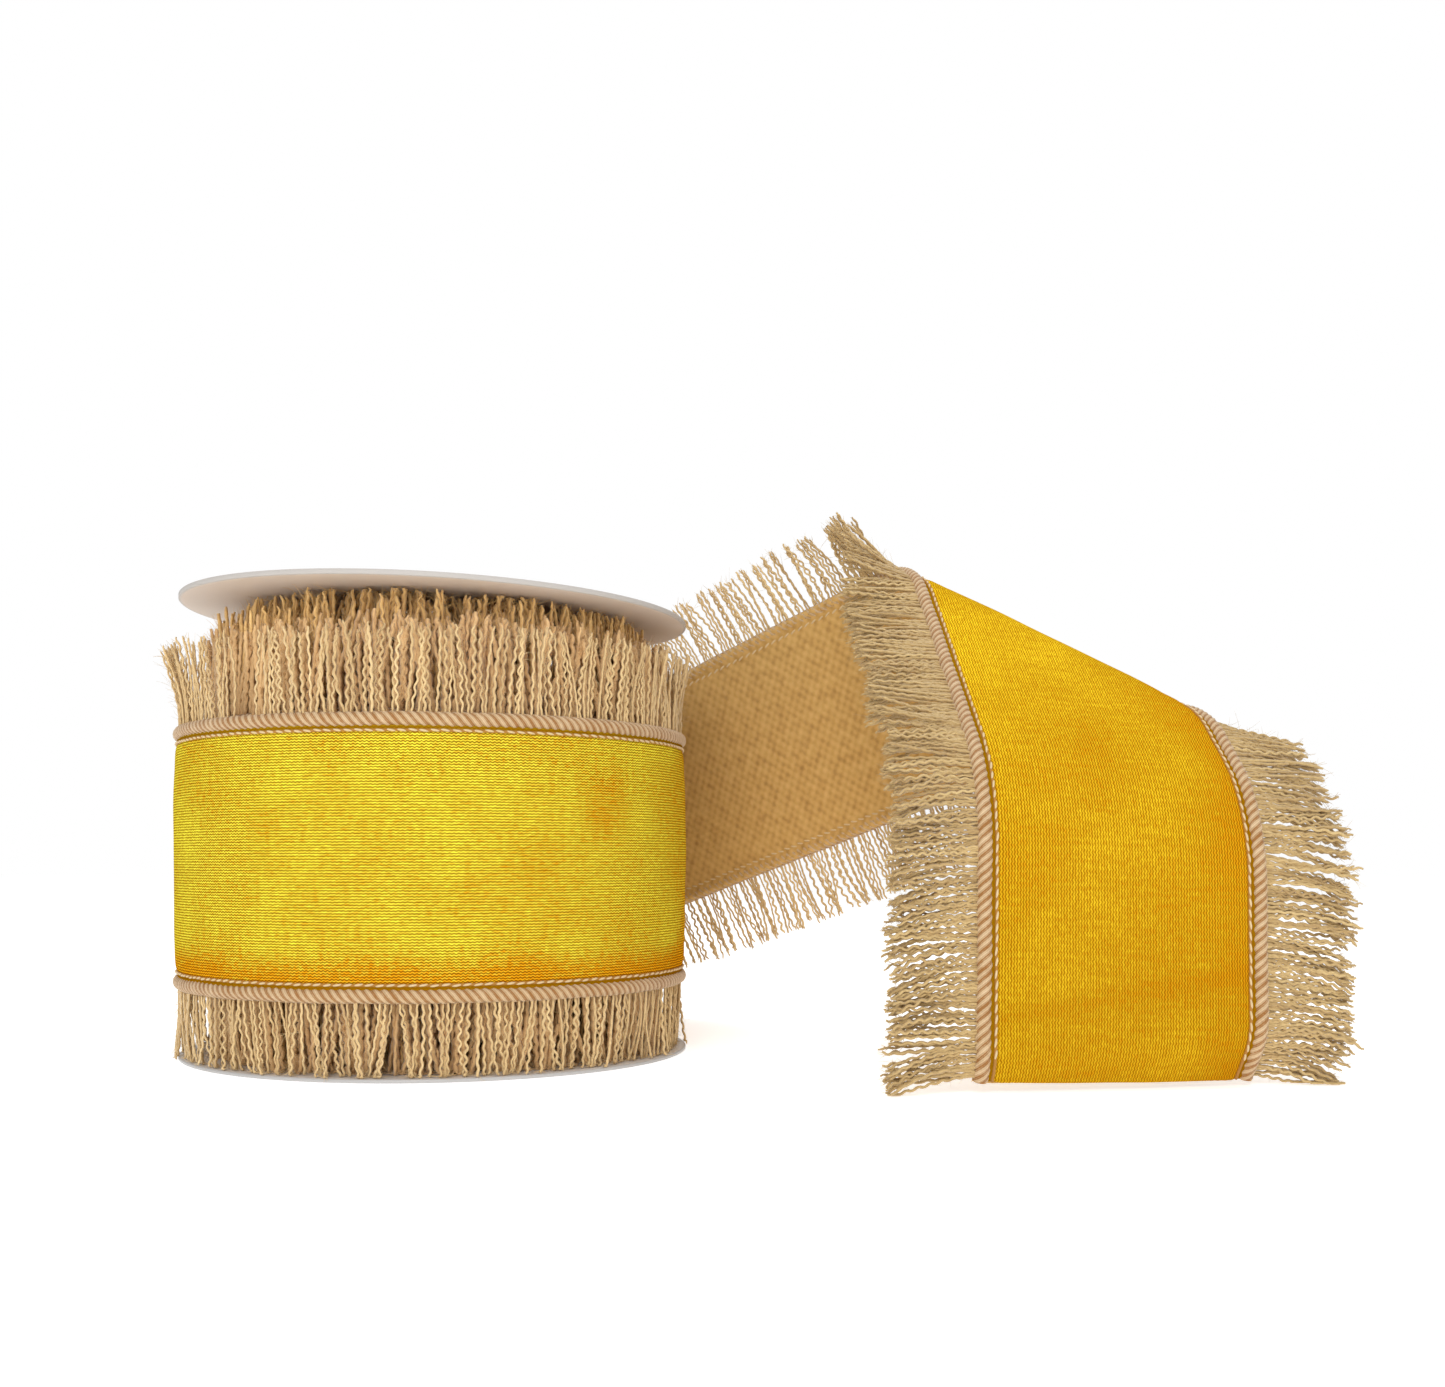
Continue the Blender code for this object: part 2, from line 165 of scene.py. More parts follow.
def lead_directions(s):
    part = np.clip(s / LEAD_LENGTH, 0.0, 1.0)
    start_heading = LEAVE_ANGLE - math.pi / 2
    heading = start_heading + (HEADING - start_heading) * part**HEADING_POWER
    climb = CLIMB * part**CLIMB_POWER
    lean = (LEAN * part**CLIMB_POWER)[..., None]
    nothing = np.zeros_like(heading)
    along = np.stack([np.cos(climb) * np.cos(heading), np.cos(climb) * np.sin(heading), np.sin(climb)], -1)
    level = np.stack([np.sin(heading), -np.cos(heading), nothing], -1)
    inwards = np.cos(lean) * level + np.sin(lean) * np.cross(level, along)
    return along, np.cross(inwards, along), inwards


LEAD_STEP = 0.5 * MM
LEAD_KNOTS = np.linspace(0.0, LEAD_LENGTH, round(LEAD_LENGTH / LEAD_STEP) + 1)
LEAD_LINE = np.concatenate(
    [
        np.zeros((1, 3)),
        np.cumsum(lead_directions((LEAD_KNOTS[1:] + LEAD_KNOTS[:-1]) / 2)[0], axis=0) * LEAD_KNOTS[1],
    ]
) + wrap_frames(np.zeros(1))[0]


def lead_frames(s):
    centre = np.stack([np.interp(s, LEAD_KNOTS, LEAD_LINE[:, axis]) for axis in range(3)], -1)
    _, across, inwards = lead_directions(s)
    return centre, across, inwards


def bend_points(place, flat, bend):
    """Carries places (s, w, n) round one bend of the tail. flat holds where on the strip each began."""
    slant, width = bend["slant"], bend["width"]
    line = np.array([math.cos(slant), -math.sin(slant), 0.0])
    onward = np.array([math.sin(slant), math.cos(slant), 0.0])
    start = np.array([bend["start"], 0.0, 0.0])
    flat_reach = (flat - start) @ onward
    radius = width / bend["turn"]
    angle = np.clip(flat_reach, 0.0, width) / radius
    past = np.where(flat_reach > width, (place - start) @ onward - width, 0.0)
    depth = place[..., 2]
    reach = (radius - depth) * np.sin(angle) + past * np.cos(angle)
    new_depth = radius - (radius - depth) * np.cos(angle) + past * np.sin(angle)
    sideways = ((place - start) @ line)[..., None]
    upwards = np.array([0.0, 0.0, 1.0])
    bent = start + sideways * line + reach[..., None] * onward + new_depth[..., None] * upwards
    return np.where((flat_reach > 0.0)[..., None], bent, place)


def cloth_at(s, w, n, middle=ROLL_MIDDLE):
    """Where flat places on the cloth lie, relative to the spool's axis, for w between the pipings' middles."""
    result = np.zeros((*s.shape, 3))
    for mask, frames in ((s <= 0.0, None), ((s > 0.0) & (s <= LEAD_LENGTH), lead_frames)):
        if mask.any():
            if frames is None:
                held = middle[mask] if isinstance(middle, np.ndarray) else middle
                centre, across, inwards = wrap_frames(s[mask], held)
            else:
                centre, across, inwards = frames(s[mask])
            result[mask] = centre + w[mask][..., None] * across + n[mask][..., None] * inwards
    mask = s > LEAD_LENGTH
    if mask.any():
        tail_s = s[mask] - LEAD_LENGTH
        place = np.stack([tail_s, w[mask], n[mask]], -1)
        flat = np.stack([tail_s, w[mask], np.zeros_like(tail_s)], -1)
        for bend in reversed(BENDS):
            place = bend_points(place, flat, bend)
        end = np.array([LEAD_LENGTH])
        centre, across, inwards = (value[0] for value in lead_frames(end))
        along = lead_directions(end)[0][0]
        result[mask] = centre + place @ np.stack([along, across, inwards])
    return result


def ribbon_at(s, w, n, middle=ROLL_MIDDLE):
    """cloth_at for arrays of any matching shapes, in the part's frame."""
    s, w, n = (np.array(value, float) for value in np.broadcast_arrays(s, w, n))
    return cloth_at(s, w, n, middle) + AXIS


def edge_frames(s, side, n, middle=ROLL_MIDDLE):
    """At the piping's middle on one side: place, and unit directions outwards, along and inwards."""
    step = 0.2 * MM
    edge = side * PIPING_CENTRE
    place = ribbon_at(s, edge, n, middle)
    outwards = unit(place - ribbon_at(s, edge - side * step, n, middle))
    along = unit(ribbon_at(s + step, edge, n, middle) - ribbon_at(s - step, edge, n, middle))
    inwards = unit(np.cross(along, outwards) * side)
    return place, outwards, along, inwards


# ---------------------------------------------------------------- meshes


def make_piece(name, points, faces, uv, material):
    """A smooth mesh from arrays: points (n, 3), faces (m, 4) and a uv for each point."""
    mesh = bpy.data.meshes.new(name)
    mesh.vertices.add(len(points))
    mesh.vertices.foreach_set("co", points.astype(np.float32).ravel())
    mesh.loops.add(faces.size)
    mesh.loops.foreach_set("vertex_index", faces.astype(np.int32).ravel())
    mesh.polygons.add(len(faces))
    mesh.polygons.foreach_set("loop_start", np.arange(0, faces.size, 4, dtype=np.int32))
    mesh.update(calc_edges=True)
    layer = mesh.uv_layers.new(name="ribbon")
    layer.data.foreach_set("uv", uv[faces.ravel()].astype(np.float32).ravel())
    mesh.validate()
    mesh.shade_smooth()
    mesh.materials.append(material)
    piece = bpy.data.objects.new(name, mesh)
    bpy.context.scene.collection.objects.link(piece)
    return piece


def grid_faces(rows, columns, closed_rows=False, closed_columns=False, offset=0):
    """Quads over a grid of rows x columns points, numbered row by row."""
    row = np.arange(rows if closed_rows else rows - 1)
    column = np.arange(columns if closed_columns else columns - 1)
    one, two = np.meshgrid(row, column, indexing="ij")
    next_row, next_column = (one + 1) % rows, (two + 1) % columns
    corners = [one * columns + two, next_row * columns + two]
    corners += [next_row * columns + next_column, one * columns + next_column]
    return np.stack(corners, -1).reshape(-1, 4) + offset


def cloth_face(name, s, w, n, material):
    """One face of the cloth over the grid of s and w, at depths given over the grid."""
    grid_s, grid_w = np.meshgrid(s, w, indexing="ij")
    points = ribbon_at(grid_s, grid_w, n).reshape(-1, 3)
    uv = np.stack([grid_s.ravel(), grid_w.ravel()], -1) * 100
    return make_piece(name, points, grid_faces(len(s), len(w))[:, ::-1], uv, material)


def cloth_slab(name, s, w, front_n, back_n, material, middle=ROLL_MIDDLE):
    """A closed sheet over the grid of s and w, between two depths given as arrays over the grid."""
    grid_s, grid_w = np.meshgrid(s, w, indexing="ij")
    held = np.broadcast_to(middle[:, None], grid_s.shape) if isinstance(middle, np.ndarray) else middle
    front = ribbon_at(grid_s, grid_w, front_n, held).reshape(-1, 3)
    back = ribbon_at(grid_s, grid_w, back_n, held).reshape(-1, 3)
    rows, columns = grid_s.shape
    count = rows * columns
    uv = np.stack([grid_s.ravel(), grid_w.ravel()], -1) * 100
    faces = [grid_faces(rows, columns)[:, ::-1], grid_faces(rows, columns, offset=count)]
    numbers = np.arange(count).reshape(rows, columns)
    for border in (numbers[0], numbers[:, -1], numbers[-1, ::-1], numbers[::-1, 0]):
        one, two = border[:-1], border[1:]
        faces.append(np.stack([one, two, two + count, one + count], -1))
    return make_piece(name, np.concatenate([front, back]), np.concatenate(faces), np.tile(uv, (2, 1)), material)


def tubes(paths, radii, sides, up):
    """Tubes along paths (n tubes, m points, 3), with the given radii (n, m), as points and faces.

    up (n, 3) says where each tube's first corner points.
    """
    count, length, _ = paths.shape
    forward = np.gradient(paths, axis=1)
    forward = unit(forward + 1e-12)
    side_axis = unit(np.cross(forward, up[:, None, :]) + 1e-12)
    up_axis = np.cross(side_axis, forward)
    angle = np.arange(sides) * TURN / sides
    ring = (
        side_axis[:, :, None, :] * np.cos(angle)[None, None, :, None]
        + up_axis[:, :, None, :] * np.sin(angle)[None, None, :, None]
    )
    points = (paths[:, :, None, :] + ring * radii[:, :, None, None]).reshape(-1, 3)
    base = grid_faces(length, sides, closed_columns=True)
    per_tube = length * sides
    offsets = (np.arange(count) * per_tube)[:, None, None]
    faces = (base[None] + offsets).reshape(-1, 4)
    caps = []
    for first, flip in ((0, False), (per_tube - sides, True)):
        corners = np.arange(sides) + first
        for corner in range(1, sides - 1, 2):
            last = corners[min(corner + 2, sides - 1)]
            quad = np.array([corners[0], corners[corner], corners[corner + 1], last])
            if quad[2] == quad[3]:
                continue
            caps.append(quad[::-1] if flip else quad)
    if caps:
        faces = np.concatenate([faces, (np.array(caps)[None] + offsets).reshape(-1, 4)])
    return points, faces


# ---------------------------------------------------------------- materials


class Shader:
    """A material's node tree with short calls for adding and linking nodes."""

    def __init__(self, name, roughness, **sockets):
        self.material = bpy.data.materials.new(name)
        self.material.use_nodes = True
        self.nodes = self.material.node_tree.nodes
        self.links = self.material.node_tree.links
        self.surface = self.nodes["Principled BSDF"]
        self.surface.inputs["Roughness"].default_value = roughness
        for socket, value in sockets.items():
            self.surface.inputs[socket.replace("_", " ")].default_value = value

    def add(self, kind, inputs=(), **settings):
        """A node with its settings, and its inputs given as (socket, value or output) pairs."""
        node = self.nodes.new("ShaderNode" + kind)
        for key, value in settings.items():
            setattr(node, key, value)
        for socket, value in inputs:
            self.join(value, node.inputs[socket])
        return node

    def join(self, value, socket):
        if isinstance(value, bpy.types.NodeSocket):
            self.links.new(value, socket)
        else:
            socket.default_value = value

    def math(self, operation, one, two=0.0, clamp=False):
        node = self.add("Math", ((0, one), (1, two)), operation=operation, use_clamp=clamp)
        return node.outputs[0]

    def uv(self):
        """The ribbon's own coordinates: centimetres along and across."""
        parts = self.add("SeparateXYZ", ((0, self.add("UVMap", uv_map="ribbon").outputs[0]),))
        return parts.outputs[0], parts.outputs[1]

    def vector(self, x, y, z=0.0):
        return self.add("CombineXYZ", ((0, x), (1, y), (2, z))).outputs[0]

    def noise(self, where, scale, detail=2.0, roughness=0.5):
        node = self.add("TexNoise", (("Scale", scale), ("Detail", detail), ("Roughness", roughness)))
        if where is not None:
            self.links.new(where, node.inputs["Vector"])
        return node.outputs["Fac"]

    def object_place(self):
        return self.add("TexCoord").outputs["Object"]

    def ramp(self, factor, *stops):
        """A smooth change through (position, colour) stops."""
        node = self.add("ValToRGB", ((0, factor),))
        elements = node.color_ramp.elements
        while len(elements) < len(stops):
            elements.new(0.5)
        for element, (position, colour) in zip(elements, stops):
            element.position = position
            element.color = (*colour, 1.0)
        return node.outputs[0]

    def mix(self, factor, one, two, blend="MIX"):
        node = self.add("Mix", data_type="RGBA", blend_type=blend)
        self.join(factor, node.inputs[0])
        for socket, value in ((6, one), (7, two)):
            self.join((*value, 1.0) if isinstance(value, tuple) else value, node.inputs[socket])
        return node.outputs[2]

    def soften(self, value, full, none):
        """1 where value is at full, falling smoothly to 0 at none."""
        ends = ((1, full), (2, none), (3, 1.0), (4, 0.0))
        node = self.add("MapRange", ((0, value), *ends), interpolation_type="SMOOTHSTEP")
        return node.outputs[0]

    def wave(self, value, per_unit):
        """0 to 1 and back, per_unit times in each unit of value."""
        turned = self.math("SINE", self.math("MULTIPLY", value, per_unit * TURN))
        return self.math("ADD", self.math("MULTIPLY", turned, 0.5), 0.5)

    def finish(self, colour, height=None, strength=0.5, distance=0.2 * MM, roughness=None):
        self.join((*colour, 1.0) if isinstance(colour, tuple) else colour, self.surface.inputs["Base Color"])
        if height is not None:
            bump = self.add("Bump", (("Strength", strength), ("Distance", distance), ("Height", height)))
            self.links.new(bump.outputs[0], self.surface.inputs["Normal"])
        if roughness is not None:
            self.links.new(roughness, self.surface.inputs["Roughness"])
        return self.material


def satin_material():
    """Shot satin: fine zigzag ribs along the ribbon, yellow over orange, with slubs, clouds of tone, a blotch and a
    darker lower hem on the roll, plus painted shade at the toe crease, the roll's turned edges, the flap's lower cord
    and foot and beside the cords, and a painted highlight on the flap's top.
    """
    shader = Shader("satin", 0.45, Specular_IOR_Level=0.0, Specular_Tint=(1.0, 0.85, 0.3, 1.0))
    along, across = shader.uv()
    zigzag = shader.math("SINE", shader.math("MULTIPLY", along, 10.0 * TURN))
    wobble = shader.math("MULTIPLY", shader.noise(shader.vector(along, across), 9.0), 0.035)
    shifted = shader.math("ADD", shader.math("ADD", across, wobble), shader.math("MULTIPLY", zigzag, 0.010))
    ribs = shader.wave(shifted, 16.0)
    clouds = shader.noise(shader.vector(along, shader.math("MULTIPLY", across, 1.4)), 0.32, 3.0, 0.55)
    slubs = shader.noise(shader.vector(shader.math("MULTIPLY", along, 14.0), across), 0.8, 3.0, 0.6)
    streaks = shader.noise(shader.vector(along, shader.math("MULTIPLY", across, 26.0)), 1.1, 4.0, 0.6)
    grain = shader.noise(shader.vector(shader.math("MULTIPLY", along, 0.6), across), 12.0, 3.0, 0.8)
    tone = shader.math("ADD", shader.math("MULTIPLY", clouds, 0.44), shader.math("MULTIPLY", streaks, 0.34))
    tone = shader.math("ADD", tone, shader.math("MULTIPLY", slubs, 0.24))
    tone = shader.math("ADD", tone, shader.math("MULTIPLY", grain, 0.90))
    tone = shader.math("SUBTRACT", tone, 0.395)
    hem = shader.soften(across, -2.72, -1.9)
    hem = shader.math("MULTIPLY", hem, shader.soften(along, -1.0, 0.5))
    blotch = shader.add("VectorMath", ((0, shader.vector(along, across)), (1, BLOTCH_PLACE)), operation="DISTANCE")
    blotch = shader.soften(blotch.outputs[1], 0.1, 1.3)
    on_tail = shader.soften(along, 20.0, 8.0)
    cross_threads = shader.math("MULTIPLY", shader.math("SUBTRACT", slubs, 0.5), on_tail)
    tone = shader.math("ADD", tone, shader.math("MULTIPLY", cross_threads, 0.14))
    # Painted shade along the crease near the flap's foot, where the ribbon turns under.
    toe_crease_shade = shader.math("SUBTRACT", along, shader.math("MULTIPLY", across, 0.2))
    toe_crease_shade = shader.math("ABSOLUTE", shader.math("SUBTRACT", toe_crease_shade, 38.7))
    tone = shader.math("SUBTRACT", tone, shader.math("MULTIPLY", shader.soften(toe_crease_shade, 0.0, 0.45), 0.10))
    # Darker at the roll's lower hem and at a blotch; painted shade and a painted highlight are added to this below.
    marks_and_painted_light = shader.math("ADD", shader.math("MULTIPLY", hem, 0.24), shader.math("MULTIPLY", blotch, 0.17))
    # Painted shade: the flap darker towards its lower cord.
    right_side_shade = shader.math("MULTIPLY", shader.soften(across, -2.8, -1.3), shader.soften(along, 31.0, 25.0))
    marks_and_painted_light = shader.math("ADD", marks_and_painted_light, shader.math("MULTIPLY", right_side_shade, 0.16))
    # Painted shade where the roll's outer turn turns away at its left and right outlines.
    left_silhouette_shade = shader.math("MULTIPLY", shader.soften(along, -3.0, -6.5), shader.soften(along, 0.0, 8.0))
    right_silhouette_shade = shader.math("MULTIPLY", shader.soften(along, -23.6, -20.6), shader.soften(along, -25.5, -28.5))
    turned = shader.math("ADD", left_silhouette_shade, right_silhouette_shade)
    marks_and_painted_light = shader.math("ADD", marks_and_painted_light, shader.math("MULTIPLY", turned, 0.13))
    # A painted highlight near the top of the flap, lightening the satin.
    painted_highlight = shader.add("VectorMath", ((0, shader.vector(along, across)), (1, PAINTED_HIGHLIGHT_PLACE)), operation="DISTANCE")
    painted_highlight = shader.soften(painted_highlight.outputs[1], 0.2, 4.2)
    marks_and_painted_light = shader.math("SUBTRACT", marks_and_painted_light, shader.math("MULTIPLY", painted_highlight, 0.13))
    tone = shader.math("SUBTRACT", tone, marks_and_painted_light)
    yellow = shader.ramp(tone, (0.34, SATIN_ORANGE), (0.56, SATIN_YELLOW), (0.85, (0.86, 0.76, 0.03)))
    gold = shader.ramp(tone, (0.34, SATIN_ORANGE), (0.56, SATIN_GOLD), (0.85, (0.86, 0.56, 0.012)))
    colour = shader.mix(on_tail, yellow, gold)
    shade = shader.ramp(ribs, (0.0, (0.20, 0.09, 0.04)), (0.42, (0.82, 0.76, 0.9)), (1.0, (1.36, 1.48, 3.0)))
    colour = shader.mix(shader.math("SUBTRACT", 0.9, shader.math("MULTIPLY", on_tail, 0.25)), colour, shade, "MULTIPLY")
    # Painted shade: the flap darker towards its foot.
    low = shader.math("MULTIPLY", shader.soften(along, 40.5, 31.0), 0.30)
    colour = shader.mix(low, colour, SATIN_PAINTED_SHADE)
    # Painted shade on the narrow strip between each cord and its stitches.
    shade_beside_cord = shader.soften(shader.math("ABSOLUTE", across), 2.82, 2.72)
    colour = shader.mix(shader.math("MULTIPLY", shade_beside_cord, 0.85), colour, SATIN_PAINTED_SHADE)
    rough = shader.math("ADD", shader.math("MULTIPLY", ribs, -0.12), 0.52)
    height = shader.math("ADD", ribs, shader.math("MULTIPLY", slubs, 0.6))
    return shader.finish(colour, height, 0.6, 0.10 * MM, rough)


def burlap_material():
    """Coarse plain weave in gold and tan, with painted light and shade: lighter where a thread comes up, darker
    between.
    """
    shader = Shader("burlap", 0.9, Sheen_Weight=0.25)
    along, across = shader.uv()
    over = shader.math(
        "MULTIPLY",
        shader.math("COSINE", shader.math("MULTIPLY", along, math.pi / WEAVE_ALONG / 100)),
        shader.math("COSINE", shader.math("MULTIPLY", across, math.pi / WEAVE_ACROSS / 100)),
    )
    # Painted light and shade of the weave: raised threads lighter, the hollows between them darker.
    up = shader.math("ADD", shader.math("MULTIPLY", over, 0.5), 0.5)
    fibres = shader.noise(shader.vector(shader.math("MULTIPLY", along, 3.0), across), 34.0, 4.0, 0.7)
    patches = shader.noise(shader.vector(along, across), 3.2, 3.0)
    tone = shader.math("ADD", shader.math("MULTIPLY", up, 0.20), shader.math("MULTIPLY", fibres, 0.44))
    tone = shader.math("ADD", tone, shader.math("MULTIPLY", shader.math("SUBTRACT", patches, 0.24), 0.6))
    colour = shader.ramp(tone, (0.18, BURLAP_DARK), (0.46, BURLAP_MID), (0.78, BURLAP_LIGHT))
    return shader.finish(colour, fibres, 0.6, 0.25 * MM)


def piping_material():
    """Cord wrapped with slanting threads, with a painted highlight on the thread tops and the cloth's orange between
    the groups darkened with painted shade.
    """
    shader = Shader("piping", 0.62, Sheen_Weight=0.2)
    along, around = shader.uv()
    turned = shader.math("ADD", along, shader.math("MULTIPLY", around, PIPING_STARTS * PIPING_LAY * 100))
    groups = shader.wave(turned, 0.01 / PIPING_LAY)
    threads = shader.wave(turned, 0.04 / PIPING_LAY)
    fuzz = shader.noise(shader.vector(along, around), 18.0, 3.0, 0.6)
    gaps = shader.noise(shader.vector(along, 0.0), 2.6, 2.0, 0.6)
    tone = shader.math("ADD", shader.math("MULTIPLY", groups, 0.6), shader.math("MULTIPLY", threads, 0.3))
    tone = shader.math("ADD", tone, shader.math("MULTIPLY", shader.math("SUBTRACT", fuzz, 0.5), 0.4))
    tone = shader.math("ADD", tone, shader.math("MULTIPLY", shader.math("SUBTRACT", gaps, 0.62), 0.9))
    # Painted shade in the gaps and a painted highlight on the thread tops.
    colour = shader.ramp(tone, (0.06, PIPING_GAP), (0.32, PIPING_PALE), (0.9, (0.68, 0.50, 0.30)))
    height = shader.math("ADD", threads, shader.math("MULTIPLY", fuzz, 0.5))
    return shader.finish(colour, height, 0.5, 0.12 * MM)


def thread_material(name, colour):
    shader = Shader(name, 0.6)
    along, across = shader.uv()
    twist = shader.wave(shader.math("ADD", along, across), 22.0)
    dark = tuple(0.62 * part for part in colour)
    tone = shader.math("ADD", shader.math("MULTIPLY", twist, 0.4), 0.6)
    return shader.finish(shader.ramp(tone, (0.3, dark), (0.8, colour)), twist, 0.4, 0.05 * MM)


def jute_material(name, tint, tail_tint=None):
    """Loose jute yarn: each yarn has its own tone, fibrous close to, with another tint towards the ribbon's end."""
    shader = Shader(name, 0.6, Sheen_Weight=0.3, Sheen_Roughness=0.5)
    along, out = shader.uv()
    each = shader.noise(shader.vector(shader.math("MULTIPLY", along, 37.0), 0.0), 1.0, 0.0)
    fibres = shader.noise(shader.vector(shader.math("MULTIPLY", along, 60.0), shader.math("MULTIPLY", out, 14.0)), 1.0, 4.0, 0.7)
    place = shader.noise(shader.object_place(), 900.0, 3.0, 0.7)
    tone = shader.math("ADD", shader.math("MULTIPLY", each, 0.5), shader.math("MULTIPLY", fibres, 0.25))
    tone = shader.math("ADD", tone, shader.math("MULTIPLY", place, 0.3))
    stops = list(zip((0.30, 0.50, 0.70), (JUTE_DARK, JUTE_MID, JUTE_LIGHT)))
    colour = shader.ramp(tone, *((at, tuple(np.multiply(shade, tint))) for at, shade in stops))
    if tail_tint:
        towards_end = shader.ramp(tone, *((at, tuple(np.multiply(shade, tail_tint))) for at, shade in stops))
        colour = shader.mix(shader.soften(along, 27.0, 17.0), colour, towards_end)
    return shader.finish(colour, place, 0.7, 0.2 * MM)


def board_material(name, light, dark, edge, roughness):
    """A disc's board or plastic: short fibres, faint mottling and a rim of another tone."""
    shader = Shader(name, roughness)
    place = shader.object_place()
    fibres = shader.noise(place, 1400.0, 4.0, 0.7)
    mottling = shader.noise(place, 38.0, 3.0, 0.6)
    tone = shader.math("ADD", shader.math("MULTIPLY", fibres, 0.3), shader.math("MULTIPLY", mottling, 0.7))
    colour = shader.ramp(tone, (0.32, dark), (0.66, light))
    across = shader.add("SeparateXYZ", ((0, place),))
    out = [shader.math("POWER", shader.math("SUBTRACT", across.outputs[0], AXIS[0]), 2.0)]
    out.append(shader.math("POWER", shader.math("SUBTRACT", across.outputs[1], AXIS[1]), 2.0))
    reach = shader.math("SQRT", shader.math("ADD", *out))
    colour = shader.mix(shader.soften(reach, FLANGE_RADIUS, FLANGE_RADIUS - MM), colour, edge)
    return shader.finish(colour, fibres, 0.25, 0.06 * MM)


def kraft_material():
    """Spirally wound kraft tube with fine fibres and a seam line on each turn of the paper."""
    shader = Shader("kraft", 0.88)
    place = shader.add("SeparateXYZ", ((0, shader.object_place()),))
    seam = shader.wave(shader.math("ADD", place.outputs[2], shader.math("MULTIPLY", place.outputs[0], 0.7)), 32.0)
    seam = shader.math("GREATER_THAN", seam, 0.985)
    fibres = shader.noise(shader.object_place(), 900.0, 4.0, 0.7)
    colour = shader.ramp(fibres, (0.35, tuple(0.7 * part for part in KRAFT)), (0.65, KRAFT))
    colour = shader.mix(seam, colour, tuple(0.45 * part for part in KRAFT))
    return shader.finish(colour, fibres, 0.3, 0.08 * MM)


def wire_material():
    shader = Shader("wire", 0.35, Metallic=1.0)
    scratches = shader.noise(shader.object_place(), 1500.0, 3.0)
    colour = shader.ramp(scratches, (0.3, (0.42, 0.42, 0.43)), (0.7, (0.62, 0.62, 0.63)))
    return shader.finish(colour, scratches, 0.15, 0.02 * MM)


def tape_material():
    shader = Shader("tape", 0.3)
    creases = shader.noise(shader.object_place(), 260.0, 3.0, 0.6)
    colour = shader.ramp(creases, (0.3, tuple(0.85 * part for part in TAPE_CREAM)), (0.7, TAPE_CREAM))
    return shader.finish(colour, creases, 0.3, 0.1 * MM)


# ---------------------------------------------------------------- cloth pieces

WEAVE_ALONG = 1.35 * MM
WEAVE_ACROSS = 1.6 * MM
BLOTCH_PLACE = (-18.8, 1.3, 0.0)
# Centre of the painted highlight on the flap's top, in centimetres along and across.
PAINTED_HIGHLIGHT_PLACE = (29.0, 1.4, 0.0)
PIPING_LAY = 2.0 * MM
PIPING_STARTS = 4
"""How the cloth lies off its flat middle: a soft crown between the stitch rows, and slow waves."""
CROWN = 0.75 * MM
WAVE_HEIGHT = 0.28 * MM
PUCKER_HEIGHT = 0.16 * MM
PUCKER_LENGTH = 4.6 * MM


def slow_waves(s, w, seed, lengths=(46.0, 31.0, 19.0), spread=1.6):
    """A smooth random height from a few crossing waves, between about -1 and 1."""
    random = np.random.default_rng(seed)
    height = np.zeros(np.broadcast(s, w).shape)
    for length in lengths:
        for _ in range(2):
            turn = random.uniform(-0.8, 0.8)
            phase = random.uniform(0, TURN)
            travel = (s * math.cos(turn) + spread * w * math.sin(turn)) / (length * MM)
            height = height + np.sin(TURN * travel + phase)
    return height / (2 * len(lengths))


def satin_lift(s, w):
    """How far the satin stands out from the strip's flat face, towards its shiny side."""
    share = np.abs(w) / STITCH_CENTRE
    crown = CROWN * np.clip(1.0 - share**4, 0.0, 1.0)
    waves = WAVE_HEIGHT * slow_waves(s, w, 11) * np.clip(1.15 - share, 0.0, 1.0)
    near_stitch = np.exp(-(((np.abs(w) - STITCH_CENTRE + 2.6 * MM) / (2.2 * MM)) ** 2))
    puckers = np.sin(TURN * (s / PUCKER_LENGTH + 1.3 * slow_waves(s, w, 5)))
    dip = np.exp(-(((np.abs(w) - STITCH_CENTRE) / (0.7 * MM)) ** 2))
    return crown + waves + PUCKER_HEIGHT * puckers * near_stitch - 0.22 * MM * dip


def weave_height(s, w):
    """The upper face of a plain weave: threads along and across, each over and under its neighbours."""
    row, line = np.round(w / WEAVE_ACROSS), np.round(s / WEAVE_ALONG)
    off_row = (w - row * WEAVE_ACROSS) / (0.5 * WEAVE_ACROSS)
    off_line = (s - line * WEAVE_ALONG) / (0.5 * WEAVE_ALONG)
    rise, thick = 0.17 * MM, 0.26 * MM
    row_sign = 1 - 2 * (row % 2)
    line_sign = 1 - 2 * (line % 2)
    lengthways = rise * np.cos(math.pi * s / WEAVE_ALONG) * row_sign + thick * np.sqrt(1 - 0.9 * off_row**2)
    crossways = -rise * np.cos(math.pi * w / WEAVE_ACROSS) * line_sign + thick * np.sqrt(1 - 0.9 * off_line**2)
    return np.maximum(lengthways, crossways)


def spaced(first, last, step):
    return np.linspace(first, last, round((last - first) / step) + 1)


def make_satin(name, first, last, material):
    s = spaced(first, last, 0.9 * MM)
    w = np.linspace(-CLOTH_EDGE, CLOTH_EDGE, 79)
    grid_s, grid_w = np.meshgrid(s, w, indexing="ij")
    return cloth_face(name, s, w, -satin_lift(grid_s, grid_w), material)


def make_burlap(name, first, last, step, columns, material):
    s = spaced(first, last, step)
    w = np.linspace(-BURLAP_EDGE, BURLAP_EDGE, columns)
    grid_s, grid_w = np.meshgrid(s, w, indexing="ij")
    over_cord = 1.0 * MM * np.exp(-(((np.abs(grid_w) - PIPING_CENTRE) / (1.5 * MM)) ** 2))
    return cloth_face(name, s, w, BURLAP_BACK + over_cord + weave_height(grid_s, grid_w) - 0.2 * MM, material)


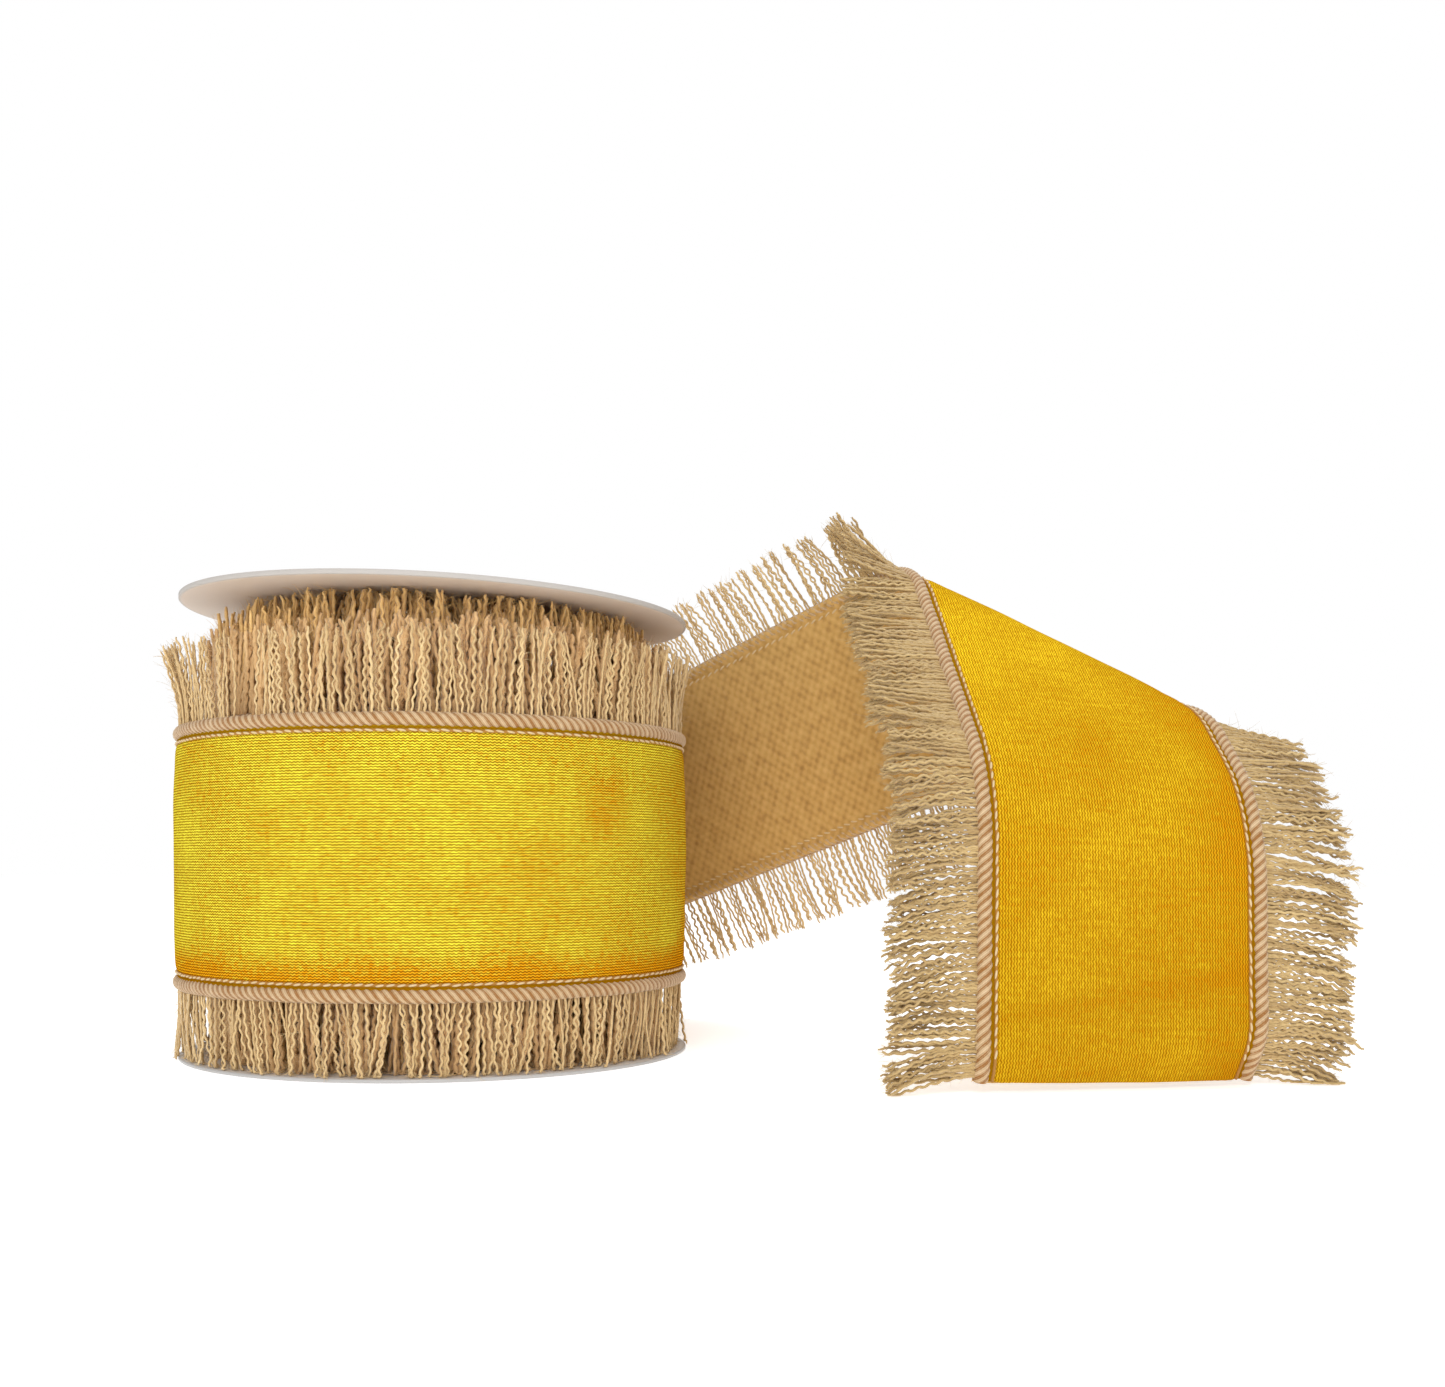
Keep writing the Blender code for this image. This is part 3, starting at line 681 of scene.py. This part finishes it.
def make_piping(name, side, first, last, material):
    """The wrapped edge cord, with a ridge for each group of threads."""
    sides = 16
    s = spaced(first, last, 0.29 * MM)
    around = np.arange(sides) / sides
    ridge = 0.5 + 0.5 * np.sin(TURN * (s[:, None] / PIPING_LAY + PIPING_STARTS * around[None, :]))
    radius = PIPING_RADIUS * (0.84 + 0.20 * np.sqrt(ridge))
    radius = radius * (1 + 0.02 * slow_waves(s[:, None], 0.0, 21 + side, (9.0, 5.0)))
    place, outwards, _, inwards = edge_frames(s, side, np.full_like(s, PIPING_DEPTH))
    wander = (0.12 * MM * slow_waves(s, 0.0, 31 + side, (60.0, 23.0)))[:, None]
    place = place + wander * outwards
    angle = TURN * around
    spokes = np.cos(angle)[None, :, None] * outwards[:, None, :]
    spokes = spokes - side * np.sin(angle)[None, :, None] * inwards[:, None, :]
    points = place[:, None, :] + radius[..., None] * spokes
    uv = np.stack([np.broadcast_to(s[:, None] * 100, radius.shape), np.broadcast_to(around, radius.shape)], -1)
    faces = grid_faces(len(s), sides, closed_columns=True)
    caps = []
    for first, flip in ((0, True), ((len(s) - 1) * sides, False)):
        for corner in range(0, sides // 2 - 1):
            one, two = first + corner, first + corner + 1
            quad = [one, two, first + sides - 2 - corner, first + sides - 1 - corner]
            caps.append(quad[::-1] if flip else quad)
    faces = np.concatenate([faces, np.array(caps)])
    return make_piece(name, points.reshape(-1, 3), faces, uv.reshape(-1, 2), material)


def line_tube(name, side, w, n, radius, step, sides, material, first, last):
    """A plain thread or wire along the ribbon."""
    s = spaced(first, last, step)
    path = ribbon_at(s, side * w, n)[None]
    up = unit(path[:, 0] - ribbon_at(s[:1], side * w, n + MM))
    points, faces = tubes(path, np.full(path.shape[:2], radius), sides, up)
    uv = np.stack([np.repeat(s * 100, sides), np.tile(np.arange(sides) / sides, len(s))], -1)
    return make_piece(name, points, faces, uv, material)


STITCH_PERIOD = 2.4 * MM


def make_stitches(name, side, first, last, material):
    """Rows of short raised stitches, straight on the satin and slanting on the burlap."""
    random = np.random.default_rng(41 + side)
    sides = 6
    share = np.linspace(0.0, 1.0, 7)
    bow = np.sin(math.pi * share)
    count = int((RIBBON_END + WRAP_LENGTH - 2 * STITCH_PERIOD) / STITCH_PERIOD)
    paths = []
    for on_satin, lean in ((True, 0.35 * MM), (False, 0.8 * MM)):
        start = STITCH_PERIOD * (0.5 + np.arange(count)) - WRAP_LENGTH + random.normal(0, 0.06 * MM, count)
        shift = random.normal(0, 0.05 * MM, count)
        within = (start >= first) & (start < last)
        s = start[within, None] + 0.90 * STITCH_PERIOD * share
        w = side * (STITCH_CENTRE + lean * (share - 0.5)) + shift[within, None]
        n = -satin_lift(s, w) - 0.22 * MM - 0.20 * MM * bow if on_satin else BURLAP_BACK + 0.30 * MM * bow + 0 * s
        paths.append((ribbon_at(s, w, n), s))
    path = np.concatenate([path for path, _ in paths])
    s = np.concatenate([s for _, s in paths])
    radii = np.broadcast_to(0.07 * MM + 0.20 * MM * np.sqrt(bow), s.shape)
    up = unit(path[:, 3] - path.mean(axis=1) + np.array([0.0, 0.0, 1e-9]))
    points, faces = tubes(path, radii, sides, up)
    uv = np.stack([np.repeat(s.ravel() * 100, sides), np.tile(np.arange(sides) / sides, s.size)], -1)
    return make_piece(name, points, faces, uv, material)


# ---------------------------------------------------------------- fringe

YARN_RADIUS = 0.30 * MM
YARN_SPACING = 1.15 * MM
CROWDING = {"wrap": 1.25, "wrap_back": 1.25, "band": 0.93, "fold": 0.48, "flap": 0.33, "foot": 0.31}
CRIMP_LENGTH = 2.7 * MM
CRIMP_HEIGHT = 0.22 * MM
CLEARANCE = 0.4 * MM
FRINGE_GAP = 59.6 * MM
"""Between the wound turns' fringe and the outermost turn's, as a distance from the axis."""
GAP_PLACE = -97.5 * MM
GAP_WIDTH = 5.5 * MM
LOOSE_PLACE = -62.0 * MM
"""Where the roll's upper fringe is ruffled outwards."""


def clump_pull(s, random):
    """For each yarn, how far its tip moves along the ribbon to meet the others of its clump and of its tuft."""
    pull = np.zeros(len(s))
    for smallest, largest, weakest, strongest in ((2, 6, 0.1, 0.6), (9, 18, 0.05, 0.30)):
        start = 0
        while start < len(s):
            end = min(start + int(random.integers(smallest, largest + 1)), len(s))
            centre = s[start:end].mean() + random.normal(0, 0.6 * MM)
            pull[start:end] += (centre - s[start:end]) * random.uniform(weakest, strongest)
            start = end
    return pull


def yarn_paths(s, side, lengths, lean, flare, random, points=44, middle=ROLL_MIDDLE, start=1.1 * MM):
    """Middle lines of crimped yarns: they leave the piping, lean along the ribbon and flare from its plane."""
    count = len(s)
    held = middle if not isinstance(middle, np.ndarray) else middle
    depth = np.full(count, PIPING_DEPTH) + random.uniform(-0.35, 0.45, count) * MM
    place, outwards, along, inwards = edge_frames(s, side, depth, held)
    share = np.linspace(0.0, 1.0, points)[None, :]
    reach = start + share * lengths[:, None]
    grown = share**1.4
    bow = random.normal(0, 0.6, count)[:, None] * MM * np.sin(math.pi * share * random.uniform(0.6, 1.5, count)[:, None])
    phase = random.uniform(0, TURN, count)[:, None]
    beat = TURN * reach / (CRIMP_LENGTH * random.normal(1, 0.08, count)[:, None]) + phase
    settle = np.clip(share * 6, 0, 1)
    size = CRIMP_HEIGHT * random.uniform(0.6, 1.7, count)[:, None] * settle
    facing = random.uniform(-0.7, 0.7, count)[:, None]
    travel = clump_pull(s, random) + lean
    sideways = travel[:, None] * grown + bow + size * np.sin(beat) * np.cos(facing)
    loops = random.normal(0, 0.35, count)[:, None] * MM * np.sin(TURN * share * 0.8 + phase * 2)
    off = flare[:, None] * share**1.7 + size * np.sin(beat) * np.sin(facing) + loops * share
    shortening = np.sqrt(np.clip(1 - (travel / lengths) ** 2, 0.2, 1))[:, None]
    path = (
        place[:, None, :]
        + (reach * shortening)[..., None] * outwards[:, None, :]
        + sideways[..., None] * along[:, None, :]
        - off[..., None] * inwards[:, None, :]
    )
    return path, -inwards, beat


def keep_above(path):
    """Bends the low ends of paths along the table, or along the bottom disc where they are over it."""
    over_disc = np.linalg.norm(path[..., :2] - AXIS[:2], axis=-1) < FLANGE_RADIUS + CLEARANCE
    path[..., 2] = np.maximum(path[..., 2], np.where(over_disc, BOTTOM_THICKNESS + CLEARANCE, CLEARANCE))


def keep_apart(path, inside):
    """Holds the wound turns' fringe within the roll, and the outermost turn's fringe round it."""
    offset = path[..., :2] - AXIS[:2]
    reach = np.maximum(np.linalg.norm(offset, axis=-1), MM)
    held = np.minimum(reach, FRINGE_GAP - 2 * YARN_RADIUS) if inside else np.maximum(reach, FRINGE_GAP + YARN_RADIUS)
    path[..., :2] = AXIS[:2] + offset * (held / reach)[..., None]


def keep_below(path, height):
    """Bends the high ends of paths along the surface at this height."""
    path[..., 2] = np.minimum(path[..., 2], height)


def top_disc_underside(place):
    return TOP_UNDERSIDE - (place[..., 0] - AXIS[0]) * math.tan(TOP_TILT)


def fibres_from(path, random, per_yarn, length, spread, near_tip):
    """Fine loose fibres that leave the yarns, at their cut ends where near_tip, else anywhere."""
    count, points, _ = path.shape
    which = np.repeat(np.arange(count), per_yarn)
    low = 0.86 if near_tip else 0.15
    at = (random.uniform(low, 1.0, len(which)) * (points - 3)).astype(int)
    root = path[which, at]
    forward = unit(path[which, np.minimum(at + 2, points - 1)] - path[which, at] + 1e-9)
    kick = random.normal(0, 1, (len(which), 3)) * spread
    aim = unit(forward + kick)
    curl = random.normal(0, 0.45, (len(which), 3))
    share = np.linspace(0, 1, 6)[None, :, None]
    reach = (length * random.uniform(0.35, 1.0, len(which)))[:, None, None]
    return root[:, None, :] + reach * (share * aim[:, None, :] + share**2 * 0.5 * curl[:, None, :]), which


def make_fringe(name, s, side, shape, seed, material, middle=ROLL_MIDDLE, plain=False, droop=0.0, width=YARN_RADIUS):
    """Yarns with their cut ends frayed into fibres, and stray fibres along them.

    shape holds each yarn's length, how far its tip leans along the ribbon, and how far it flares off the ribbon.
    """
    lengths, lean, flare = shape
    around_roll = s.max() <= 0.0
    random = np.random.default_rng(seed)
    sides = 4 if plain else 5
    path, up, beat = yarn_paths(s, side, lengths, lean, flare, random, 26 if plain else 44, middle)
    path[..., 2] -= droop * random.uniform(0.3, 1.7, len(s))[:, None] * np.linspace(0, 1, path.shape[1]) ** 2
    keep_above(path)
    if around_roll:
        keep_apart(path, plain)
    if plain and side > 0:
        keep_below(path, top_disc_underside(path) - 0.7 * MM)
    count, points, _ = path.shape
    share = np.linspace(0, 1, points)[None, :]
    thick = width * random.uniform(0.8, 1.2, count)[:, None]
    thick = thick * (1 + 0.10 * np.cos(2 * beat))
    thick = thick * np.where(share > 0.94, 1 - 6 * (share - 0.94), 1.0)
    pieces = [(*tubes(path, thick, sides, up), np.repeat(s * 100, points * sides))]
    strands = [(7, 2.6 * MM, 0.30, True, 0.075), (6 if around_roll else 3, 4.6 * MM, 0.9, False, 0.042)]
    if plain:
        strands = [(8, 5.0 * MM, 0.6, True, 0.06)]
    for per_yarn, length, spread, near_tip, width in strands:
        hair, which = fibres_from(path, random, per_yarn, length, spread, near_tip)
        keep_above(hair)
        if around_roll:
            keep_apart(hair, plain)
        if plain and side > 0:
            keep_below(hair, top_disc_underside(hair) - 0.3 * MM)
        radii = width * MM * np.linspace(1.0, 0.35, 6)[None, :] * np.ones((len(hair), 1))
        hair_up = unit(random.normal(0, 1, (len(hair), 3)))
        pieces.append((*tubes(hair, radii, 3, hair_up), np.repeat(s[which] * 100, 18)))
    points_all, faces_all, uv_all = [], [], []
    offset = 0
    for vertices, faces, along in pieces:
        out = vertices.sum(axis=1) * 100
        points_all.append(vertices)
        faces_all.append(faces + offset)
        uv_all.append(np.stack([along, out], -1))
        offset += len(vertices)
    return make_piece(name, np.concatenate(points_all), np.concatenate(faces_all), np.concatenate(uv_all), material)


def yarn_starts(first, last, random, spacing=YARN_SPACING):
    count = int((last - first) / spacing)
    even = first + (np.arange(count) + 0.5) * spacing
    return np.sort(even + random.normal(0, 0.28, count) * spacing)


def fringe_pieces(material):
    """The fringes of the outermost turn and the tail, split by the body that they ride on."""
    made = []
    fold_reach = 18.0 * MM
    for side, edge in ((1, "upper"), (-1, "lower")):
        fold_s = FOLD_MIDDLE - side * PIPING_CENTRE / math.tan(FOLD["slant"])
        stretches = (
            ("wrap_back", -WRAP_LENGTH + 0.6 * MM, -WRAP_LENGTH * 0.56),
            ("wrap", -WRAP_LENGTH * 0.56, -0.3 * MM),
            ("band", 0.3 * MM, fold_s - fold_reach),
            ("fold", fold_s - fold_reach, fold_s + fold_reach),
            ("flap", fold_s + fold_reach, (fold_s + fold_reach + RIBBON_END) / 2),
            ("foot", (fold_s + fold_reach + RIBBON_END) / 2, RIBBON_END - 0.4 * MM),
        )
        for index, (stretch, first, last) in enumerate(stretches):
            seed = 100 + 10 * index + side
            random = np.random.default_rng(seed + 50)
            s = yarn_starts(first, last, random, YARN_SPACING * CROWDING.get(stretch, 1.0))
            if side > 0:
                s = s[np.abs(s - GAP_PLACE) > GAP_WIDTH / 2]
            count = len(s)
            lengths = FRINGE_LENGTH * random.uniform(0.93, 1.03, count)
            lean = random.normal(0, 0.5, count) * MM
            flare = random.normal(0.6, 1.1, count) * MM
            if stretch in ("fold", "flap", "foot"):
                lengths = lengths * (1.0 + 0.10 * slow_waves(s, 0.0, seed, (24.0, 13.0)))
                lean = lean + 2.4 * MM * slow_waves(s, 0.0, seed + 1, (31.0, 17.0))
                flare = flare + random.normal(0, 1.3, count) * MM
            if stretch.startswith("wrap") and side < 0:
                lengths = lengths * 0.95
                lean = random.normal(0, 1.7, count) * MM
                flare = random.normal(-1.3, 1.1, count) * MM
            if stretch.startswith("wrap") and side > 0:
                flare = random.normal(0.9, 1.0, count) * MM
                flare = flare + 2.2 * MM * np.exp(-(((s - LOOSE_PLACE) / (26 * MM)) ** 2))
            if stretch == "band" and side > 0:
                lean = lean - 4.0 * MM
            name = f"{edge}_{stretch}_fringe"
            droop = {"flap": 3.2 * MM, "foot": 3.2 * MM, "fold": 1.8 * MM}.get(stretch, 0.0)
            on_flap = stretch in ("fold", "flap", "foot")
            width = YARN_RADIUS * (1.08 if on_flap else 1.0)
            shape = (lengths, lean, flare)
            piece = make_fringe(name, s, side, shape, seed, material, droop=droop, width=width)
            made.append((piece, stretch, edge))
    return made


# ---------------------------------------------------------------- inner turns

INNER_FIRST = -ROLL_RADIUS * TURN * (ROLL_RADIUS - CORE_RADIUS - 3.2 * MM) / ROLL_PITCH
INNER_LAST = -ROLL_RADIUS * TURN * (ROLL_RADIUS - WOUND_RADIUS) / ROLL_PITCH


def inner_middle(s):
    """The inner turns stand a little higher than the outermost one, and not all level."""
    turns_in = np.clip((INNER_LAST - s) / (TURN * ROLL_RADIUS), 0.0, 4.0)
    return WOUND_MIDDLE + 1.2 * MM * turns_in + 0.9 * MM * slow_waves(s, 0.0, 71, (900.0, 430.0))


def make_inner_turns(materials):
    """The wound turns under the outermost one: cloth, edge cords and fringe, all resting on the spool."""
    s = np.linspace(INNER_FIRST, INNER_LAST, 1500)
    w = np.linspace(-CLOTH_EDGE, CLOTH_EDGE, 7)
    grid_s, _ = np.meshgrid(s, w, indexing="ij")
    middle = inner_middle(s)
    front = np.full(grid_s.shape, 0.2 * MM)
    cloth = cloth_slab("inner_cloth", s, w, front, front + 1.2 * MM, materials["burlap"], middle)
    pieces = [cloth]
    for side, edge in ((1, "upper"), (-1, "lower")):
        place, _, _, inwards = edge_frames(s, side, np.full_like(s, PIPING_DEPTH), middle)
        points, faces = tubes(place[None], np.full((1, len(s)), 1.22 * MM), 8, inwards[:1])
        uv = np.stack([np.repeat(s * 100, 8), np.tile(np.arange(8) / 8, len(s))], -1)
        pieces.append(make_piece(f"inner_{edge}_piping", points, faces, uv, materials["piping"]))
        random = np.random.default_rng(200 + side)
        turn = TURN * ROLL_RADIUS
        layers = (
            ("first", INNER_LAST - 1.5 * turn, INNER_LAST, 1.45 * MM, 1.05, 1.8 * YARN_RADIUS),
            ("next", INNER_LAST - 4 * turn, INNER_LAST - 1.5 * turn, 2.3 * MM, 1.25, 1.5 * YARN_RADIUS),
            ("deep", INNER_LAST - 7 * turn, INNER_LAST - 4 * turn, 3.0 * MM, 1.32, 1.5 * YARN_RADIUS),
            ("core", INNER_FIRST + 2 * MM, INNER_LAST - 7 * turn, 14.0 * MM, 1.32, YARN_RADIUS),
        )
        for number, (layer, first, last, spacing, longer, width) in enumerate(layers):
            roots = yarn_starts(first, last, random, spacing)
            count = len(roots)
            lengths = FRINGE_LENGTH * longer * random.uniform(0.9, 1.1, count)
            lean = random.normal(0, 2.0, count) * MM
            flare = random.normal(-0.6, 1.4, count) * MM
            name = f"inner_{edge}_fringe_{layer}"
            shape, seed, held = (lengths, lean, flare), 210 + side + 7 * number, inner_middle(roots)
            # The deeper layers use the lighter jute: painted bounce light under the discs.
            yarn = materials["under_jute" if layer == "first" else "inner_jute_painted_light"]
            pieces.append(make_fringe(name, roots, side, shape, seed, yarn, held, plain=True, width=width))
    return pieces


# ---------------------------------------------------------------- spool discs


def make_disc(name, low, high, tilt_height, material, segments=160):
    """A flange turned from a profile with softened rims, tilted about its middle when tilt_height is given."""
    soft = 0.18 * MM
    inner, outer = BORE_RADIUS, FLANGE_RADIUS
    rings = []
    for radius, height in (
        (inner, low + soft),
        (inner + soft, low),
        ((inner + outer) / 2, low),
        (outer - 0.8 * MM, low),
        (outer - soft, low),
        (outer, low + soft),
        (outer, high - soft),
        (outer - soft, high),
        (outer - 0.8 * MM, high),
        ((inner + outer) / 2, high),
        (inner + soft, high),
        (inner, high - soft),
    ):
        angle = np.arange(segments) * TURN / segments
        rings.append(np.stack([radius * np.cos(angle), radius * np.sin(angle), np.full(segments, height)], -1))
    points = np.stack(rings)
    if tilt_height is not None:
        x, z = points[..., 0].copy(), points[..., 2] - tilt_height
        points[..., 0] = x * math.cos(TOP_TILT) + z * math.sin(TOP_TILT)
        points[..., 2] = tilt_height - x * math.sin(TOP_TILT) + z * math.cos(TOP_TILT)
    points = points.reshape(-1, 3) + AXIS
    faces = grid_faces(12, segments, closed_rows=True, closed_columns=True)[:, ::-1]
    return make_piece(name, points, faces, points[:, :2] * 100, material)


# ---------------------------------------------------------------- stage, light and camera


def make_stage():
    bpy.ops.mesh.primitive_plane_add(size=8.0, location=(0.0, 0.0, -0.0001))
    floor = bpy.context.object
    floor.name = "floor"
    shader = Shader("pale_floor", 0.9, Specular_IOR_Level=0.1)
    shader.surface.inputs["Emission Color"].default_value = (1.0, 1.0, 1.0, 1.0)
    shader.surface.inputs["Emission Strength"].default_value = 0.5
    floor.data.materials.append(shader.finish((0.93, 0.93, 0.93)))
    world = bpy.data.worlds.new("studio")
    bpy.context.scene.world = world
    world.use_nodes = True
    nodes, links = world.node_tree.nodes, world.node_tree.links
    seen = nodes.new("ShaderNodeLightPath")
    backdrop = nodes.new("ShaderNodeBackground")
    backdrop.inputs["Strength"].default_value = 1.0
    backdrop.inputs["Color"].default_value = (1.0, 1.0, 1.0, 1.0)
    room = nodes["Background"]
    room.inputs["Color"].default_value = (1.0, 1.0, 1.0, 1.0)
    room.inputs["Strength"].default_value = 0.56
    mixed = nodes.new("ShaderNodeMixShader")
    links.new(seen.outputs["Is Camera Ray"], mixed.inputs[0])
    links.new(room.outputs[0], mixed.inputs[1])
    links.new(backdrop.outputs[0], mixed.inputs[2])
    links.new(mixed.outputs[0], nodes["World Output"].inputs["Surface"])


def make_light(name, place, aim, size, watts, colour=(1.0, 1.0, 1.0)):
    lamp = bpy.data.lights.new(name, "AREA")
    lamp.size = size
    lamp.energy = watts
    lamp.color = colour
    light = bpy.data.objects.new(name, lamp)
    bpy.context.scene.collection.objects.link(light)
    light.location = place
    direction = np.array(aim) - np.array(place)
    yaw = math.atan2(direction[1], direction[0])
    pitch = math.acos(-direction[2] / np.linalg.norm(direction))
    light.rotation_euler = (pitch, 0.0, yaw - math.pi / 2)


def make_camera():
    """Level, in front of the gap between the roll and the flap, a little under half the spool's height."""
    data = bpy.data.cameras.new("camera")
    data.sensor_width = 36.0
    data.lens = 38.67
    data.shift_y = 0.1152
    data.clip_start = 0.01
    camera = bpy.data.objects.new("camera", data)
    bpy.context.scene.collection.objects.link(camera)
    camera.location = (AXIS[0] + 0.073, AXIS[1] - 0.400, 0.0485)
    camera.rotation_euler = (math.pi / 2, 0.0, 0.0)
    bpy.context.scene.camera = camera


def paint(node, material):
    piece = frame["nodes"][node]
    piece.data.materials.clear()
    piece.data.materials.append(material)


def blend_over_fold(piece):
    """Bakes the piece's placement into its mesh; the fold's line and onward direction are worked out but not used, so
    the piece does not follow the flap past the fold.
    """
    axis, middle = np.array(HINGE["axis"]), np.array(HINGE["pos_m"])
    step = ribbon_at(FOLD_MIDDLE + MM, 0.0, 0.0) - ribbon_at(FOLD_MIDDLE - MM, 0.0, 0.0)
    inwards = unit(ribbon_at(FOLD_MIDDLE, 0.0, MM) - ribbon_at(FOLD_MIDDLE, 0.0, 0.0))
    onward = unit(step - (step @ axis) * axis)
    onward = 11.0 * MM * unit(onward + 0.2 * (inwards - (inwards @ axis) * axis))
    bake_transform(piece)


def main():
    make_camera()
    make_stage()
    make_light("key", (-0.16, -0.98, 0.60), (0.0, 0.0, 0.05), 0.45, 5.0)
    make_light("fill", (0.80, -0.60, 0.45), (0.05, 0.0, 0.05), 0.8, 1.0)
    make_light("top", (0.0, 0.1, 1.1), (0.0, 0.0, 0.0), 1.0, 5.0)

    materials = {
        "satin": satin_material(),
        "burlap": burlap_material(),
        "piping": piping_material(),
        "stitch": thread_material("stitch", STITCH_PALE),
        "stitch_shadow_line": thread_material("stitch_shadow_line", STITCH_SHADOW_LINE),
        "jute": jute_material("jute", ROLL_TINT, FLAP_TINT),
        "under_jute": jute_material("under_jute", UNDER_TINT),
        "inner_jute_painted_light": jute_material("inner_jute_painted_light", INNER_PAINTED_LIGHT_TINT),
        "wire": wire_material(),
        "board": board_material("board", BOARD_GREY, BOARD_BROWN, BOARD_RIM, 0.6),
        "plastic": board_material("plastic", PLASTIC_GREY, PLASTIC_GREY, PLASTIC_RIM, 0.35),
    }

    foot = RIBBON_END + 1.7 * MM
    satins, burlaps, edging = [], [], []
    for stretch, first, last in (("roll", -WRAP_LENGTH, SPLIT), ("tail", SPLIT, RIBBON_END)):
        covered = ("wrap", "band") if stretch == "roll" else ("flap",)
        satin = make_satin(f"satin_{stretch}", first, last, materials["satin"])
        burlap_last = foot if stretch == "tail" else last
        burlap = make_burlap(f"burlap_{stretch}", max(first, 0.0), burlap_last, 0.5 * MM, 121, materials["burlap"])
        satins.append(satin)
        burlaps.append(burlap)
        pieces = [(satin, "satin", "satin"), (burlap, "burlap", "burlap")]
        for side, edge in ((1, "upper"), (-1, "lower")):
            place = (first, last)
            cord = make_piping(f"{edge}_piping_{stretch}", side, *place, materials["piping"])
            sewn = make_stitches(f"{edge}_stitches_{stretch}", side, *place, materials["stitch"])
            # A dark thread under each stitch row, showing between and beside the dashes: painted shade of the stitches.
            name, radius = f"{edge}_seam_{stretch}", 0.36 * MM
            line = materials["stitch_shadow_line"]
            seam = line_tube(name, side, STITCH_CENTRE, 0.12 * MM, radius, 0.8 * MM, 8, line, *place)
            name, end = f"{edge}_wire_{stretch}", last + (0.3 * MM if stretch == "tail" else 0.0)
            metal = materials["wire"]
            wire = line_tube(name, side, PIPING_CENTRE, PIPING_DEPTH, WIRE_RADIUS, 1.5 * MM, 8, metal, first, end)
            pieces += [(cord, "piping", f"{edge}_piping"), (sewn, "thread", f"{edge}_stitching")]
            pieces += [(seam, "thread", None), (wire, "wire", f"{edge}_wire")]
            edging += [cord, sewn, seam, wire]
        for piece, slot, node in pieces:
            if stretch == "tail":
                blend_over_fold(piece)
            else:
                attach(piece, "lead")
            covers = [part for part in covered if node != "burlap" or part != "wrap"]
            if node:
                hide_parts(*(f"{part}_{node}" for part in covers))
    wrap_burlap = make_burlap("burlap_wrap", -WRAP_LENGTH, 0.0, 2.7 * MM, 25, materials["burlap"])
    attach(wrap_burlap, "lead")
    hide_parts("wrap_burlap")

    for piece, stretch, edge in fringe_pieces(materials["jute"]):
        if stretch == "fold":
            blend_over_fold(piece)
        else:
            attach(piece, "flap" if stretch in ("flap", "foot") else "lead")
        if stretch in ("wrap", "band", "flap"):
            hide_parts(f"{stretch}_{edge}_fringe")

    inner = make_inner_turns(materials)
    inner_nodes = {
        "inner_cloth": "wound_ribbon",
        "inner_upper_fringe_first": "wound_upper_fringe",
        "inner_lower_fringe_first": "wound_lower_fringe",
    }
    for piece in inner:
        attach(piece, "spool")
        if piece.name in inner_nodes:
            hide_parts(inner_nodes[piece.name])

    top_upper = TOP_UNDERSIDE + TOP_THICKNESS
    top = make_disc("top_disc", TOP_UNDERSIDE, top_upper, TOP_UNDERSIDE, materials["board"])
    bottom = make_disc("bottom_disc", 0.0, BOTTOM_THICKNESS, None, materials["plastic"])
    for piece, node, slot in ((top, "top_flange", "board"), (bottom, "bottom_flange", "bottom_disc")):
        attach(piece, "spool")
        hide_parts(node)
    paint("core_tube", kraft_material())
    paint("top_hub_collar", materials["board"])
    paint("bottom_hub_collar", materials["board"])
    paint("start_tape", tape_material())


main()
bpy.context.scene.view_settings.view_transform = "Standard"
